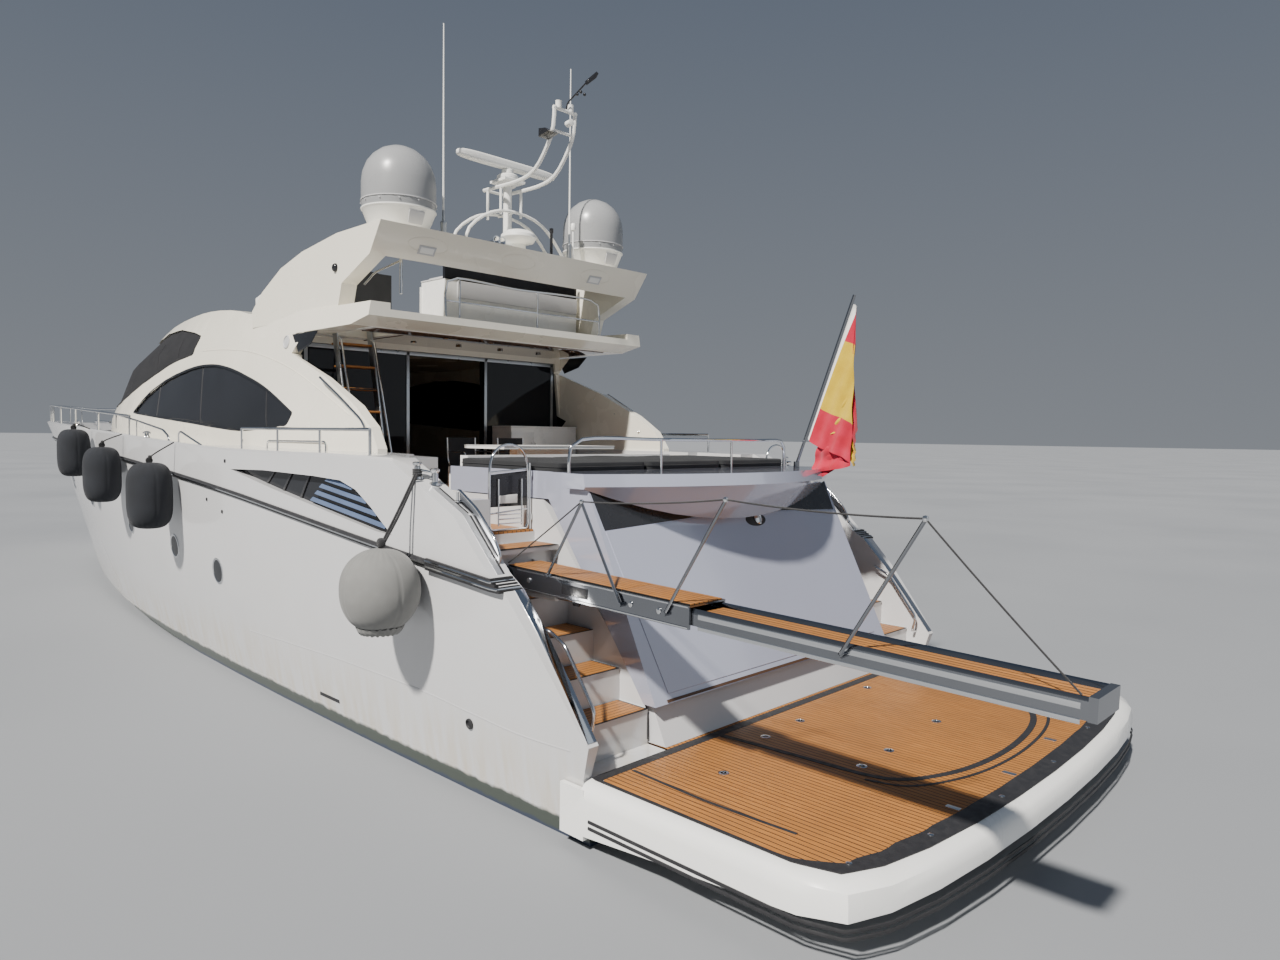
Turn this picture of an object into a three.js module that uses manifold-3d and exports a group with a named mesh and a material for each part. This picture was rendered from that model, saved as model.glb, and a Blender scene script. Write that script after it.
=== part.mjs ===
// Motor yacht with a flybridge, a hydraulic bathing platform, a lifting garage door
// and a telescopic passerelle. Millimetres, +X to the bow, +Y to port, +Z up.
// The origin is on the waterline, on the centreline, amidships.

import * as THREE from 'three';
import { mergeVertices } from 'three/addons/utils/BufferGeometryUtils.js';
import Module from 'manifold-3d';

const wasm = await Module();
wasm.setup();

// Driving dimensions

const GAP = 0.3;              // between pieces that touch
const SOLE_Z = 2150;          // cockpit floor
const LANDING_Z = 2040;       // head of the stern stairs
const PLATFORM_Z = 520;       // teak of the bathing platform
const TRANSOM_X = -10420;
const STERN_X = -10500;       // aft tips of the hull wings
const GATE_X = -8750;
const BULKHEAD_X = -4400;     // glass wall between cockpit and saloon
const HULL_JOINT_X = -4250;   // main bulkhead, where the stern meets the rest of the hull
const FLY_FRONT_X = -850;     // forward edge of the flybridge moulding
const FLY_AFT_X = -6270;
const ROOF_SPLIT_Z = 4222;    // the flybridge moulding sits on this plane
const FLY_SOLE_Z = 4380;
const CEILING_Z = 4130;
const ARCH_TOP_Z = 5300;
const STAIR_IN_Y = 1800;      // inboard and outboard walls of the stern stairs
const STAIR_OUT_Y = 2610;
const COCKPIT_Y = 2120;
const BULWARK = 300;          // depth of the side decks below the gunwale
const BULWARK_WALL = 110;

// Hull lines, one row per station from the transom to the stem.
// keelX, keelZ, chineX, chineY, chineZ, sheerX, sheerY, sheerZ, railZ, bulge
const HULL = [
  [STERN_X, -620, STERN_X, 2590, -120, STERN_X, 2800, 2560, 1760, 60],
  [-8000, -740, -8000, 2640, -100, -8000, 2850, 2770, 1970, 80],
  [-4000, -860, -4000, 2640, -40, -4000, 2890, 2790, 2330, 95],
  [0, -930, 0, 2520, 90, 0, 2880, 2930, 2590, 95],
  [3500, -910, 3500, 2190, 280, 3500, 2770, 3060, 2740, 50],
  [6500, -740, 6500, 1610, 520, 6500, 2440, 3140, 2820, -40],
  [9000, -380, 9100, 900, 790, 9300, 1760, 3170, 2860, -110],
  [10100, -120, 10450, 380, 1060, 11250, 930, 3160, 2880, -80],
  [10700, 160, 11350, 30, 1280, 12550, 45, 3120, 2870, 0],
];

// Deckhouse and flybridge lines, one row per station from the aft wings to the nose.
// x, baseY, waistY, waistZ, eaveY, eaveZ, shoulderY, shoulderZ, crownZ
const HOUSE = [
  [-6800, 2265, 2245, 3200, 2130, 4220, 2090, 4440, 4445],
  [-4400, 2265, 2245, 3200, 2120, 4220, 2060, 4500, 4520],
  [-3000, 2265, 2245, 3200, 2100, 4225, 1990, 4590, 4620],
  [-2000, 2265, 2245, 3210, 2070, 4235, 1870, 4750, 4790],
  [-800, 2265, 2240, 3230, 2020, 4260, 1740, 4860, 4950],
  [300, 2260, 2230, 3250, 1970, 4290, 1640, 4880, 5000],
  [1700, 2230, 2190, 3260, 1900, 4290, 1520, 4810, 4960],
  [3000, 2120, 2080, 3250, 1800, 4160, 1370, 4610, 4790],
  [4000, 1950, 1900, 3220, 1640, 3880, 1230, 4260, 4430],
  [4900, 1680, 1620, 3180, 1410, 3560, 1060, 3820, 3990],
  [5900, 1250, 1190, 3080, 1030, 3250, 780, 3360, 3450],
  [6900, 500, 470, 2960, 410, 3000, 300, 3030, 3060],
];

// The ram under the passerelle: its foot on the stair riser, its rod eye under the deck.
const RAM_FOOT = [-9110, 1672];
const RAM_EYE = [-9860, 1690];
const RAM_Y = 2225;

// The lift arms pivot low on the transom and carry the platform at their aft ends.
const ARM_FROM = [-10620, -430];
const ARM_TO = [-11650, -160];
const ARM_Y = 880;
const ARM_TUBE = 960;

// The gangway is drawn level under its own top at z 0, then tilted down to its aft end.
const PASSERELLE = { rootX: -9120, aftX: -11180, topZ: 1918, slope: 1.3, lowY: 2030, highY: 2420, depth: 165 };
const PASSERELLE_PIN = [-9180, 1826];

// Under the water: the shafts' ends, the blades' reach, the rudder stocks and their bosses.
const SHAFT = { y: 1250, inX: -6200, inZ: -480, outX: -8900, outZ: -1050, blade: 410 };
const SHAFT_TILT = Math.atan2(SHAFT.inZ - SHAFT.outZ, SHAFT.inX - SHAFT.outX);
const RUDDER_X = -9750;
const RUDDER_TOP = -500;

// Geometry helpers

function toSolid(geometry) {
  const bare = geometry.index ? geometry.toNonIndexed() : geometry.clone();
  bare.deleteAttribute('normal');
  bare.deleteAttribute('uv');
  const merged = mergeVertices(bare, 0.01);
  return new wasm.Manifold(new wasm.Mesh({
    numProp: 3,
    vertProperties: new Float32Array(merged.attributes.position.array),
    triVerts: new Uint32Array(merged.index.array),
  }));
}

function toGeometry(solid) {
  const mesh = solid.getMesh();
  const geometry = new THREE.BufferGeometry();
  geometry.setAttribute('position', new THREE.BufferAttribute(mesh.vertProperties, 3));
  geometry.setIndex(new THREE.BufferAttribute(mesh.triVerts, 1));
  return geometry;
}

const join = (...solids) => solids.reduce((sum, next) => sum.add(next));
const cut = (solid, ...cutters) => cutters.reduce((rest, next) => rest.subtract(next), solid);
const lift = (solid, x, y, z) => solid.translate([x, y, z]);
const mirrored = (solid) => solid.mirror([0, 1, 0]);
const bothSides = (solid) => join(solid, mirrored(solid));

// Slides a piece along a direction until it all but touches what carries it.
function seated(solid, against, [x, y, z]) {
  let placed = solid;
  for (let step = 0; step < 4; step++) {
    const travel = placed.minGap(against, 100) - GAP;
    placed = lift(placed, x * travel, y * travel, z * travel);
  }
  return placed;
}

// The port half of a solid and its exact mirror image.
const evened = (solid) => bothSides(solid.intersect(box(-20000, 20000, 0, 5000, -5000, 9000)));

function box(x0, x1, y0, y1, z0, z1) {
  const geometry = new THREE.BoxGeometry(x1 - x0, y1 - y0, z1 - z0);
  geometry.translate((x0 + x1) / 2, (y0 + y1) / 2, (z0 + z1) / 2);
  return toSolid(geometry);
}

// A flat outline of [a, b] points pushed along the third axis.
function extrude(outline, depth) {
  const shape = new THREE.Shape(outline.map(([a, b]) => new THREE.Vector2(a, b)));
  return new THREE.ExtrudeGeometry(shape, { depth, bevelEnabled: false });
}

function prismXY(outline, z0, z1) {
  return toSolid(extrude(outline, z1 - z0).translate(0, 0, z0));
}

function prismXZ(outline, y0, y1) {
  return toSolid(extrude(outline, y1 - y0).rotateX(Math.PI / 2).translate(0, y1, 0));
}

function prismYZ(outline, x0, x1) {
  const geometry = extrude(outline, x1 - x0);
  geometry.rotateX(Math.PI / 2).rotateZ(Math.PI / 2);
  return toSolid(geometry.translate(x0, 0, 0));
}

// A straight round bar between two points.
function rod(from, to, radius, sides = 8, endRadius = radius) {
  const a = new THREE.Vector3(...from);
  const b = new THREE.Vector3(...to);
  const length = a.distanceTo(b);
  const geometry = new THREE.CylinderGeometry(endRadius, radius, length, sides);
  const turn = new THREE.Quaternion().setFromUnitVectors(
    new THREE.Vector3(0, 1, 0), b.clone().sub(a).normalize());
  geometry.applyQuaternion(turn);
  geometry.translate((a.x + b.x) / 2, (a.y + b.y) / 2, (a.z + b.z) / 2);
  return toSolid(geometry);
}

// A bent tube through the points.
function tube(points, radius, steps = points.length * 3, sides = 8) {
  const section = new THREE.Shape();
  section.absarc(0, 0, radius, 0, 2 * Math.PI);
  const path = new THREE.CatmullRomCurve3(
    points.map((point) => new THREE.Vector3(...point)), false, 'centripetal');
  return toSolid(new THREE.ExtrudeGeometry(section, {
    steps, curveSegments: sides / 2, bevelEnabled: false, extrudePath: path,
  }));
}

// A turned shape about a vertical axis; the profile is [radius, z] from axis to axis.
function turned(profile, x, y, sides = 20) {
  const points = profile.map(([radius, z]) => new THREE.Vector2(radius, z));
  const geometry = new THREE.LatheGeometry(points, sides);
  geometry.rotateX(Math.PI / 2);
  return toSolid(geometry.translate(x, y, 0));
}

// A skin stretched over closed rings of the same number of points, with flat ends.
// The rings follow each other along one axis: 0 for X, 1 for Y, 2 for Z.
function loft(sections, axis = 0) {
  const flat = (ring) => ring.map(
    (point) => new THREE.Vector2(point[(axis + 1) % 3], point[(axis + 2) % 3]));
  const backward = sections.at(-1)[0][axis] < sections[0][0][axis];
  const ordered = backward ? [...sections].reverse() : sections;
  const clockwise = THREE.ShapeUtils.isClockWise(flat(ordered[0]));
  const rings = ordered.map((ring) => (clockwise ? [...ring].reverse() : ring));
  const count = rings[0].length;
  const last = (rings.length - 1) * count;
  const faces = [];
  for (let start = 0; start < last; start += count) {
    for (let i = 0; i < count; i++) {
      const [a, b] = [start + i, start + (i + 1) % count];
      faces.push(a, b, b + count, a, b + count, a + count);
    }
  }
  for (const [a, b, c] of THREE.ShapeUtils.triangulateShape(flat(rings[0]), [])) {
    faces.push(b, a, c);
  }
  for (const [a, b, c] of THREE.ShapeUtils.triangulateShape(flat(rings.at(-1)), [])) {
    faces.push(last + a, last + b, last + c);
  }
  const geometry = new THREE.BufferGeometry();
  geometry.setAttribute('position', new THREE.Float32BufferAttribute(rings.flat(2), 3));
  geometry.setIndex(faces);
  return toSolid(geometry);
}

// A smooth row of the table at a fractional row number.
function rowAt(table, place) {
  const start = Math.min(Math.floor(place), table.length - 2);
  const t = place - start;
  const [before, a, b, after] = [-1, 0, 1, 2].map(
    (step) => table[THREE.MathUtils.clamp(start + step, 0, table.length - 1)]);
  return a.map((value, column) => {
    const slopeA = (b[column] - before[column]) / 2;
    const slopeB = (after[column] - value) / 2;
    return value * (2 * t ** 3 - 3 * t ** 2 + 1) + slopeA * (t ** 3 - 2 * t ** 2 + t)
      + b[column] * (3 * t ** 2 - 2 * t ** 3) + slopeB * (t ** 3 - t ** 2);
  });
}

// The fractional row number where a rising column passes the value.
function placeOf(table, column, value) {
  let [low, high] = [0, table.length - 1];
  for (let step = 0; step < 40; step++) {
    const middle = (low + high) / 2;
    if (rowAt(table, middle)[column] < value) low = middle;
    else high = middle;
  }
  return (low + high) / 2;
}

function places(from, to, count) {
  return Array.from({ length: count + 1 }, (unused, i) => from + (to - from) * i / count);
}

// A closed ring from the port half of a section that starts and ends on the centreline.
function wholeRing(half) {
  const starboard = half.slice(1, -1).reverse().map(([x, y, z]) => [x, -y, z]);
  return [...half, ...starboard];
}

// Hull

function topside(row, t) {
  const [, , chineX, chineY, chineZ, sheerX, sheerY, sheerZ, , bulge] = row;
  return [
    chineX + (sheerX - chineX) * t,
    chineY + (sheerY - chineY) * t + bulge * Math.sin(Math.PI * t),
    chineZ + (sheerZ - chineZ) * t,
  ];
}

function hullRing(row) {
  const [keelX, keelZ] = row;
  const [sheerX, sheerY, sheerZ] = [row[5], row[6], row[7]];
  const rounding = Math.min(40, sheerY * 0.4);
  return wholeRing([
    [keelX, 0, keelZ],
    ...[0, 0.2, 0.4, 0.6, 0.8, 1].map((t) => topside(row, t)),
    [sheerX, sheerY - rounding, sheerZ + 25],
    [sheerX, 0, sheerZ + 25],
  ]);
}

function deckWell() {
  const rings = places(2.15, 7.2, 16).map((place) => {
    const row = rowAt(HULL, place);
    const [x, sheerY, z] = [row[5], row[6], row[7]];
    const foot = topside(row, 1 - BULWARK / (z - row[4]));
    const [low, high] = [foot[1] - BULWARK_WALL, sheerY - BULWARK_WALL];
    return [[x, low, z - BULWARK], [x, high, z], [x, high, z + 500], [x, -high, z + 500],
      [x, -high, z], [x, -low, z - BULWARK]];
  });
  return evened(loft(rings));
}

const STAIR_NOSES = [[-9230, 1620], [-9560, 1350], [-9890, 1080], [-10220, 810]];

function stairWell() {
  const outline = [[GATE_X, 4000], [GATE_X, LANDING_Z], [-9000, LANDING_Z]];
  let lastX = -9000;
  for (const [x, z] of STAIR_NOSES) {
    outline.push([lastX, z], [x, z]);
    lastX = x;
  }
  outline.push([lastX, PLATFORM_Z], [-11000, PLATFORM_Z], [-11000, 4000]);
  return join(
    prismXZ(outline, STAIR_IN_Y, STAIR_OUT_Y),
    box(GATE_X - 1, -7200, STAIR_IN_Y, 2320, SOLE_Z - 20, 4000),
    box(GATE_X - 1, -7950, STAIR_IN_Y, 2580, SOLE_Z - 20, 4000),
  );
}

function garagePocket() {
  return join(
    box(-10600, -7450, -1640, 1640, 850, 3500),
    prismXZ([[-7250, 2430], [-7250, 3500], [-11000, 3500], [-11000, 500], [-10200, 500],
      [-10200, 845], [-8860, 2430]], -STAIR_IN_Y - 1, STAIR_IN_Y + 1),
  );
}

const QUARTER_WINDOW = [[-4450, 2570], [-5360, 2590], [-6560, 2575], [-7090, 2555], [-7390, 2480],
  [-7670, 2335], [-8040, 2105], [-7755, 2120], [-6280, 2310], [-5620, 2395], [-4890, 2500]];

function hull() {
  const skin = evened(loft(places(0, 8, 24).map((place) => hullRing(rowAt(HULL, place)))));
  const saloonWell = prismXY([[-7250, -COCKPIT_Y], [BULKHEAD_X, -COCKPIT_Y], [1000, -1980],
    [3900, -1500], [3900, 1500], [1000, 1980], [BULKHEAD_X, COCKPIT_Y], [-7250, COCKPIT_Y]],
  SOLE_Z - 20, 4000);
  const sternRake = prismXZ([[-7900, 3500], [-7970, 2800], [-8300, 2650], [-8500, 2560],
    [-8980, 2350], [-9330, 2020], [-9450, 1910], [-9630, 1800], [-9910, 1510], [-10200, 1160],
    [-10500, 780], [-10420, PLATFORM_Z + 2], [-11200, PLATFORM_Z], [-11200, 3500]], STAIR_IN_Y, 3200);
  const underPlatform = box(-11000, TRANSOM_X, -3200, 3200, -1500, PLATFORM_Z + 2);
  const quarterRecess = prismXZ(QUARTER_WINDOW, 2790, 3200);
  const armBracket = bothSides(prismXZ([[-10400, -310], [-10600, -320], [-10680, -370],
    [-10680, -490], [-10560, -490], [-10400, -460]], ARM_TUBE + GAP, ARM_TUBE + 40));
  const [footX, footZ] = RAM_FOOT;
  const ramBracket = prismXZ([[-8990, footZ - 40], [footX - 30, footZ - 20], [footX - 30, footZ + 20],
    [-8990, footZ + 80]], RAM_Y + 14 + GAP, RAM_Y + 34);
  const { lowY, highY } = PASSERELLE;
  const [pinX, pinZ] = PASSERELLE_PIN;
  const cheek = (y) => prismXZ([[-8990, pinZ - 100], [pinX + 10, pinZ - 40], [pinX - 30, pinZ],
    [pinX + 10, pinZ + 40], [-8990, pinZ + 100]], y, y + 14);
  const landingNose = bothSides(box(-9100, -8990, STAIR_IN_Y - 5, STAIR_OUT_Y + 5, 2000, LANDING_Z));
  const gateCoaming = bothSides(box(-8780, -8620, 2330, 2590, 2030, 2450));
  const rudderBoss = bothSides(rod([RUDDER_X, SHAFT.y, -200], [RUDDER_X, SHAFT.y, RUDDER_TOP], 60, 12));
  const doorEar = prismXZ([[-7262, 2400], [-7262, 2745], [-7405, 2745], [-7425, 2720],
    [-7405, 2697], [-7360, 2697], [-7360, 2400]], 1500, 1540);
  return join(cut(skin, deckWell(), saloonWell, bothSides(stairWell()), garagePocket(),
    bothSides(sternRake), underPlatform, bothSides(quarterRecess)), armBracket, ramBracket,
  bothSides(doorEar), cheek(lowY - 14.5), cheek(highY + 0.5), landingNose, gateCoaming, rudderBoss);
}

// The half-round moulding along the topsides, from the quarter to the stem.
function rubRail() {
  const rings = places(0.5, 23 / 3, 22).map((place) => {
    const row = rowAt(HULL, place);
    const t = (row[8] - row[4]) / (row[7] - row[4]);
    const [x, y, z] = topside(row, t);
    return [[x, y - 12, z + 32], [x, y + 18, z + 32], [x, y + 38, z], [x, y + 18, z - 32],
      [x, y - 12, z - 32]];
  });
  return loft(rings);
}

// Deckhouse and flybridge

function houseRing(row, inset) {
  const [x, baseY, waistY, waistZ, eaveY, eaveZ, shoulderY, shoulderZ, crownZ] = row;
  return wholeRing([
    [x, 0, 2000],
    [x, baseY - inset, 2000],
    [x, baseY - inset, 2600],
    [x, waistY - inset, waistZ],
    [x, eaveY - inset, eaveZ - inset * 0.3],
    [x, shoulderY - inset, shoulderZ - inset * 0.8],
    [x, 0, crownZ - inset],
  ]);
}

function houseLoft(inset, fromX, toX, count) {
  const range = places(placeOf(HOUSE, 0, fromX), placeOf(HOUSE, 0, toX), count);
  return evened(loft(range.map((place) => houseRing(rowAt(HOUSE, place), inset))));
}

const SALOON_WINDOW = [[1700, 3310], [1150, 3590], [360, 3800], [-460, 3920], [-1130, 3970],
  [-1780, 3960], [-2330, 3900], [-2910, 3790], [-3770, 3570], [-4650, 3240], [-4500, 3110],
  [-3090, 3030], [-1270, 3130]];
const WHEELHOUSE_WINDOW = [[-780, 4470], [-300, 4560], [700, 4690], [1700, 4700], [2600, 4600],
  [3250, 4900], [6200, 3900], [5750, 3350], [4600, 3400], [3400, 3470], [2600, 3610],
  [1820, 3780], [940, 3960], [190, 4100], [-780, 4190]];
const HOUSE_WALL = 110;

const HOUSE_SKIN = houseLoft(0, -6790, 6890, 24);
const HOUSE_INSIDE = houseLoft(HOUSE_WALL, -6799, 6000, 18);

function deckhouse(hullSolid) {
  const aboveWings = prismXZ([[-4750, 4230], [-4450, 3980], [-5450, 3640], [-6200, 3310],
    [-6560, 3080], [-6720, 2850], [-6740, 1900], [-7500, 1900], [-7500, 6000],
    [FLY_FRONT_X, 6000], [FLY_FRONT_X, ROOF_SPLIT_Z], [-4750, ROOF_SPLIT_Z]], -3000, 3000);
  const ceiling = box(-7000, FLY_FRONT_X, -3000, 3000, CEILING_Z, 6000);
  const overWings = box(-7000, BULKHEAD_X - 100, -COCKPIT_Y - 2, COCKPIT_Y + 2, 1900, 6000);
  const shell = cut(HOUSE_SKIN, aboveWings, cut(HOUSE_INSIDE, ceiling), overWings,
    lift(hullSolid, 0, 0, GAP));
  return cut(shell, prismXZ(SALOON_WINDOW, -3000, 3000), prismXZ(WHEELHOUSE_WINDOW, -3000, 3000));
}

// A pane that follows the deckhouse side inside its window, a little smaller all round.
function pane(outline, y0, y1) {
  const centre = new THREE.Vector2();
  outline.forEach(([x, z]) => centre.add(new THREE.Vector2(x, z)));
  centre.divideScalar(outline.length);
  const smaller = outline.map(([x, z]) => {
    const inward = centre.clone().sub(new THREE.Vector2(x, z)).normalize();
    return [x + inward.x * 3, z + inward.y * 3];
  });
  const sheet = cut(houseLoft(25, -6790, 6700, 24), houseLoft(60, -6799, 6500, 20));
  return sheet.intersect(prismXZ(smaller, y0, y1));
}

function flybridge() {
  const moulding = HOUSE_SKIN.intersect(
    box(FLY_AFT_X, FLY_FRONT_X - GAP, -3000, 3000, ROOF_SPLIT_Z + GAP, 6000));
  const well = prismXY([[-1100, -1500], [-1100, 1500], [-3000, 1800], [-6400, 1850],
    [-6400, -1850], [-3000, -1800]], FLY_SOLE_Z, 6000);
  const lipUnder = prismXZ([[-6400, 4000], [-5900, 4000], [-5900, 4225], [-6290, 4300],
    [-6400, 4300]], -3000, 3000);
  const hatch = box(-5460, -4690, 1280, 1810, 4000, 6000);
  return cut(moulding, well, lipUnder, hatch);
}

function radarArch(flySolid) {
  const leg = prismXZ([[-3050, 4400], [-3050, 4620], [-3380, 4840], [-3950, 5080], [-4560, 5210],
    [-5450, ARCH_TOP_Z], [-6440, ARCH_TOP_Z], [-6200, 4970], [-5560, 4720], [-5450, 4400]],
  1870, 2060);
  const beam = prismXZ([[-5350, 5200], [-5450, ARCH_TOP_Z], [-6440, ARCH_TOP_Z], [-6200, 4970],
    [-5900, 5110]], -2060, 2060);
  return cut(join(bothSides(leg), beam), lift(flySolid, 0, 0, GAP));
}

// Stern: garage door, platform, passerelle

function garageDoor() {
  const side = [[-9010, 2690], [-9480, 2690], [-9520, 2560], [-10350, 855], [-10215, 855],
    [-9010, 2440]];
  const panel = cut(
    prismXZ(side, -1850, 1850),
    prismXZ([[-8900, 2600], [-9400, 2600], [-9440, 2520], [-10270, 800], [-10100, 800],
      [-8900, 2400]], -1740, 1740),
  );
  const trayY = STAIR_IN_Y - 5;
  const tray = cut(
    box(-9100, -7370, -trayY, trayY, 2440, 2690),
    box(-9300, -7430, -1740, 1740, 2300, 2630),
  );
  const recess = box(-9050, -7450, -1775, 1775, 2660, 2800);
  const scallop = loft(places(-1900, 1900, 12).map((y) => {
    const bow = 1 - (y / 1900) ** 2;
    return [[-9300, y, 2690], [-9520 - 560 * bow, y, 2690], [-9540 - 570 * bow, y, 2580],
      [-9530 - 250 * bow, y, 2560 - 330 * bow], [-9300, y, 2560 - 330 * bow]];
  }), 1);
  const knuckle = join(rod([-7400, 1540.5, 2720], [-7400, 1580, 2720], 24, 12),
    box(-7418, -7382, 1540.5, 1580, 2680, 2720));
  return join(cut(join(panel, tray, scallop), recess), bothSides(knuckle));
}

const PLATFORM_FRONT_X = -10435;

// The plan of the platform, smaller by the inset at its sides and aft edge.
function platformOutline(inset) {
  const points = [];
  const [sideY, cornerX, middleX] = [2730 - inset, -12350 + inset, -12880 + inset];
  points.push([PLATFORM_FRONT_X, -sideY], [cornerX + 300, -sideY]);
  for (let step = 0; step <= 12; step++) {
    const angle = -Math.PI / 2 + Math.PI * step / 12;
    const y = sideY * Math.sin(angle);
    const bow = Math.abs(Math.cos(angle)) ** 0.55;
    points.push([cornerX + 60 * (1 - bow) + (middleX - cornerX) * bow, y]);
  }
  points.push([cornerX + 300, sideY], [PLATFORM_FRONT_X, sideY]);
  return points;
}

// height and inset of the platform's rounded edge
const PLATFORM_EDGE = [[90, 0], [400, 0], [470, 12], [505, 45], [PLATFORM_Z, 105]];

function bathingPlatform() {
  const block = loft(PLATFORM_EDGE.map(
    ([z, inset]) => platformOutline(inset).map(([x, y]) => [x, y, z])), 2);
  const risingUnderside = prismXZ([[-10000, 0], [-10000, 90], [-11050, 190], [-13000, 345], [-13000, 0]],
    -3000, 3000);
  const pocket = box(-12250, -10000, -2620, 2620, 0, 250);
  const sidePanel = box(-10470, -10215, 2690, 2729, 100, 470);
  const slab = join(cut(block, risingUnderside, pocket), bothSides(sidePanel));
  const [eyeX, eyeZ] = ARM_TO;
  const eye = prismXZ([[eyeX + 70, 255], [eyeX - 70, 255], [eyeX - 45, eyeZ - 50],
    [eyeX + 45, eyeZ - 50]], ARM_TUBE + GAP, ARM_TUBE + 40);
  return join(slab, bothSides(eye));
}

function platformArms() {
  const arm = rod([ARM_FROM[0], ARM_Y, ARM_FROM[1]], [ARM_TO[0], ARM_Y, ARM_TO[1]], 40);
  const crossTube = ([x, z], radius) => rod([x, -ARM_TUBE, z], [x, ARM_TUBE, z], radius, 12);
  return join(bothSides(arm), crossTube(ARM_FROM, 42), crossTube(ARM_TO, 42));
}

function sloped(solid) {
  const { rootX, topZ, slope } = PASSERELLE;
  return lift(lift(solid, -rootX, 0, 0).rotate([0, -slope, 0]), rootX, 0, topZ);
}

// from and to of each stanchion bar, x and z
const FIXED_STANCHIONS = [[-9700, 1900, -10100, 2510], [-10530, 1790, -10100, 2510],
  [-10970, 1790, -11490, 2610]];
const TIP_STANCHION = [-12350, 1750, -12860, 2590];

function stanchion([fromX, fromZ, toX, toZ], y, socketY) {
  return join(rod([fromX, y, fromZ], [toX, y, toZ], 12), rod([fromX, socketY, fromZ],
    [fromX, y + 14, fromZ], 18));
}

function passerelle() {
  const { rootX, aftX, lowY, highY, depth } = PASSERELLE;
  const channel = cut(
    box(aftX, rootX, lowY, highY, -depth, 0),
    box(aftX - 100, rootX - 30, lowY + 18, highY - 18, -depth - 100, -12),
  );
  const crossBeam = box(-9940, -9780, lowY, highY, -depth, -depth + 20);
  const [eyeX, eyeZ] = RAM_EYE;
  const eye = prismXZ([[eyeX - 60, 1745], [eyeX + 60, 1745], [eyeX + 30, eyeZ - 32],
    [eyeX - 30, eyeZ - 32]], RAM_Y + 30, RAM_Y + 50);
  return join(sloped(join(channel, crossBeam)), eye,
    ...FIXED_STANCHIONS.map((bar) => stanchion(bar, highY + 20, highY - 12)));
}

function passerelleTip() {
  const { lowY, highY } = PASSERELLE;
  const low = lowY + 23;
  const beam = prismYZ([[low, -135], [low + 40, -135], [low + 43, -50], [low + 33, -22],
    [low + 10, -17], [low, -45]], -13700, -10900);
  const deck = box(-13690, -10920, low + 35, highY - 58, -75, -52);
  const end = box(-13740, -13695, low, highY - 23, -140, -15);
  const runners = join(box(-11020, -10905, lowY + 18.8, low + 5, -120, -70),
    box(-11020, -10905, highY - 28, highY - 18.8, -120, -70));
  const farBeam = lift(mirrored(beam), 0, lowY + highY, 0);
  return join(sloped(join(beam, farBeam, deck, end, runners)),
    stanchion(TIP_STANCHION, highY + 20, highY - 40));
}

function ramPoint(share) {
  return [RAM_FOOT[0] + (RAM_EYE[0] - RAM_FOOT[0]) * share, RAM_Y,
    RAM_FOOT[1] + (RAM_EYE[1] - RAM_FOOT[1]) * share];
}

function ramBarrel() {
  const bore = rod(ramPoint(0.2), ramPoint(0.9), 17, 12);
  const knuckle = rod([RAM_FOOT[0], RAM_Y - 14, RAM_FOOT[1]], [RAM_FOOT[0], RAM_Y + 14, RAM_FOOT[1]],
    28, 12);
  return join(cut(rod(ramPoint(0.12), ramPoint(0.62), 32, 14), bore), knuckle,
    rod(ramPoint(0), ramPoint(0.14), 12, 8));
}

function ramRod() {
  const [x, y, z] = ramPoint(1);
  return join(rod(ramPoint(0.3), ramPoint(1), 16, 12), rod([x, y - 12, z], [x, y + 12, z], 24, 12));
}

// Stern and cockpit fittings

function cockpitSole() {
  const port = [[BULKHEAD_X - 75, 2110], [-7210, 2110], [-7210, 2310], [-7960, 2310], [-7960, 2570],
    [-8610, 2570], [-8610, 2320], [-8740, 2320], [-8740, 1810], [-7240, 1810]];
  const starboard = port.map(([x, y]) => [x, -y]).reverse();
  return prismXY([...port, ...starboard], SOLE_Z - 20 + GAP, SOLE_Z);
}

const DOOR = { low: 2300, high: 4080, port: 530, starboard: -700, width: 1270, travel: 1250 };

function aftBulkhead() {
  const wall = prismYZ([[-2119, SOLE_Z - 20 + GAP], [2119, SOLE_Z - 20 + GAP], [2119, 3150],
    [2008, CEILING_Z - GAP], [-2008, CEILING_Z - GAP], [-2119, 3150]], BULKHEAD_X - 65, BULKHEAD_X);
  const doorway = box(BULKHEAD_X - 100, BULKHEAD_X + 100, DOOR.starboard, DOOR.port,
    DOOR.low, DOOR.high);
  const track = (z0, z1) => box(BULKHEAD_X - 5, BULKHEAD_X + 60, -2000, 1900, z0, z1);
  return join(cut(wall, doorway), track(DOOR.low - 60, DOOR.low - 20),
    track(DOOR.high, DOOR.high + 40));
}

function saloonDoor() {
  const port = DOOR.port + 15 - DOOR.travel;
  return box(BULKHEAD_X + 8, BULKHEAD_X + 48, port - DOOR.width, port,
    DOOR.low - 20 + GAP, DOOR.high - GAP);
}

function flyLadder() {
  const [foot, head] = [[-5350, SOLE_Z + GAP], [-4800, 4370]];
  const stringer = prismXZ([foot, [foot[0] + 130, foot[1]], [head[0] + 60, head[1]],
    [head[0] - 60, head[1]]], 1300, 1325);
  const treads = [1, 2, 3, 4, 5, 6, 7].map((step) => {
    const share = step / 8;
    const x = foot[0] + (head[0] - foot[0]) * share;
    const z = foot[1] + (head[1] - foot[1]) * share;
    return box(x - 40, x + 150, 1310, 1790, z, z + 30);
  });
  return join(stringer, lift(stringer, 0, 465, 0), ...treads);
}

function cockpitCabinet() {
  return join(
    box(-4930, BULKHEAD_X - 75, -2090, -850, SOLE_Z + GAP, 3120),
    box(-5700, -4900, -2090, -1650, SOLE_Z + GAP, 2600),
  );
}

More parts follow.
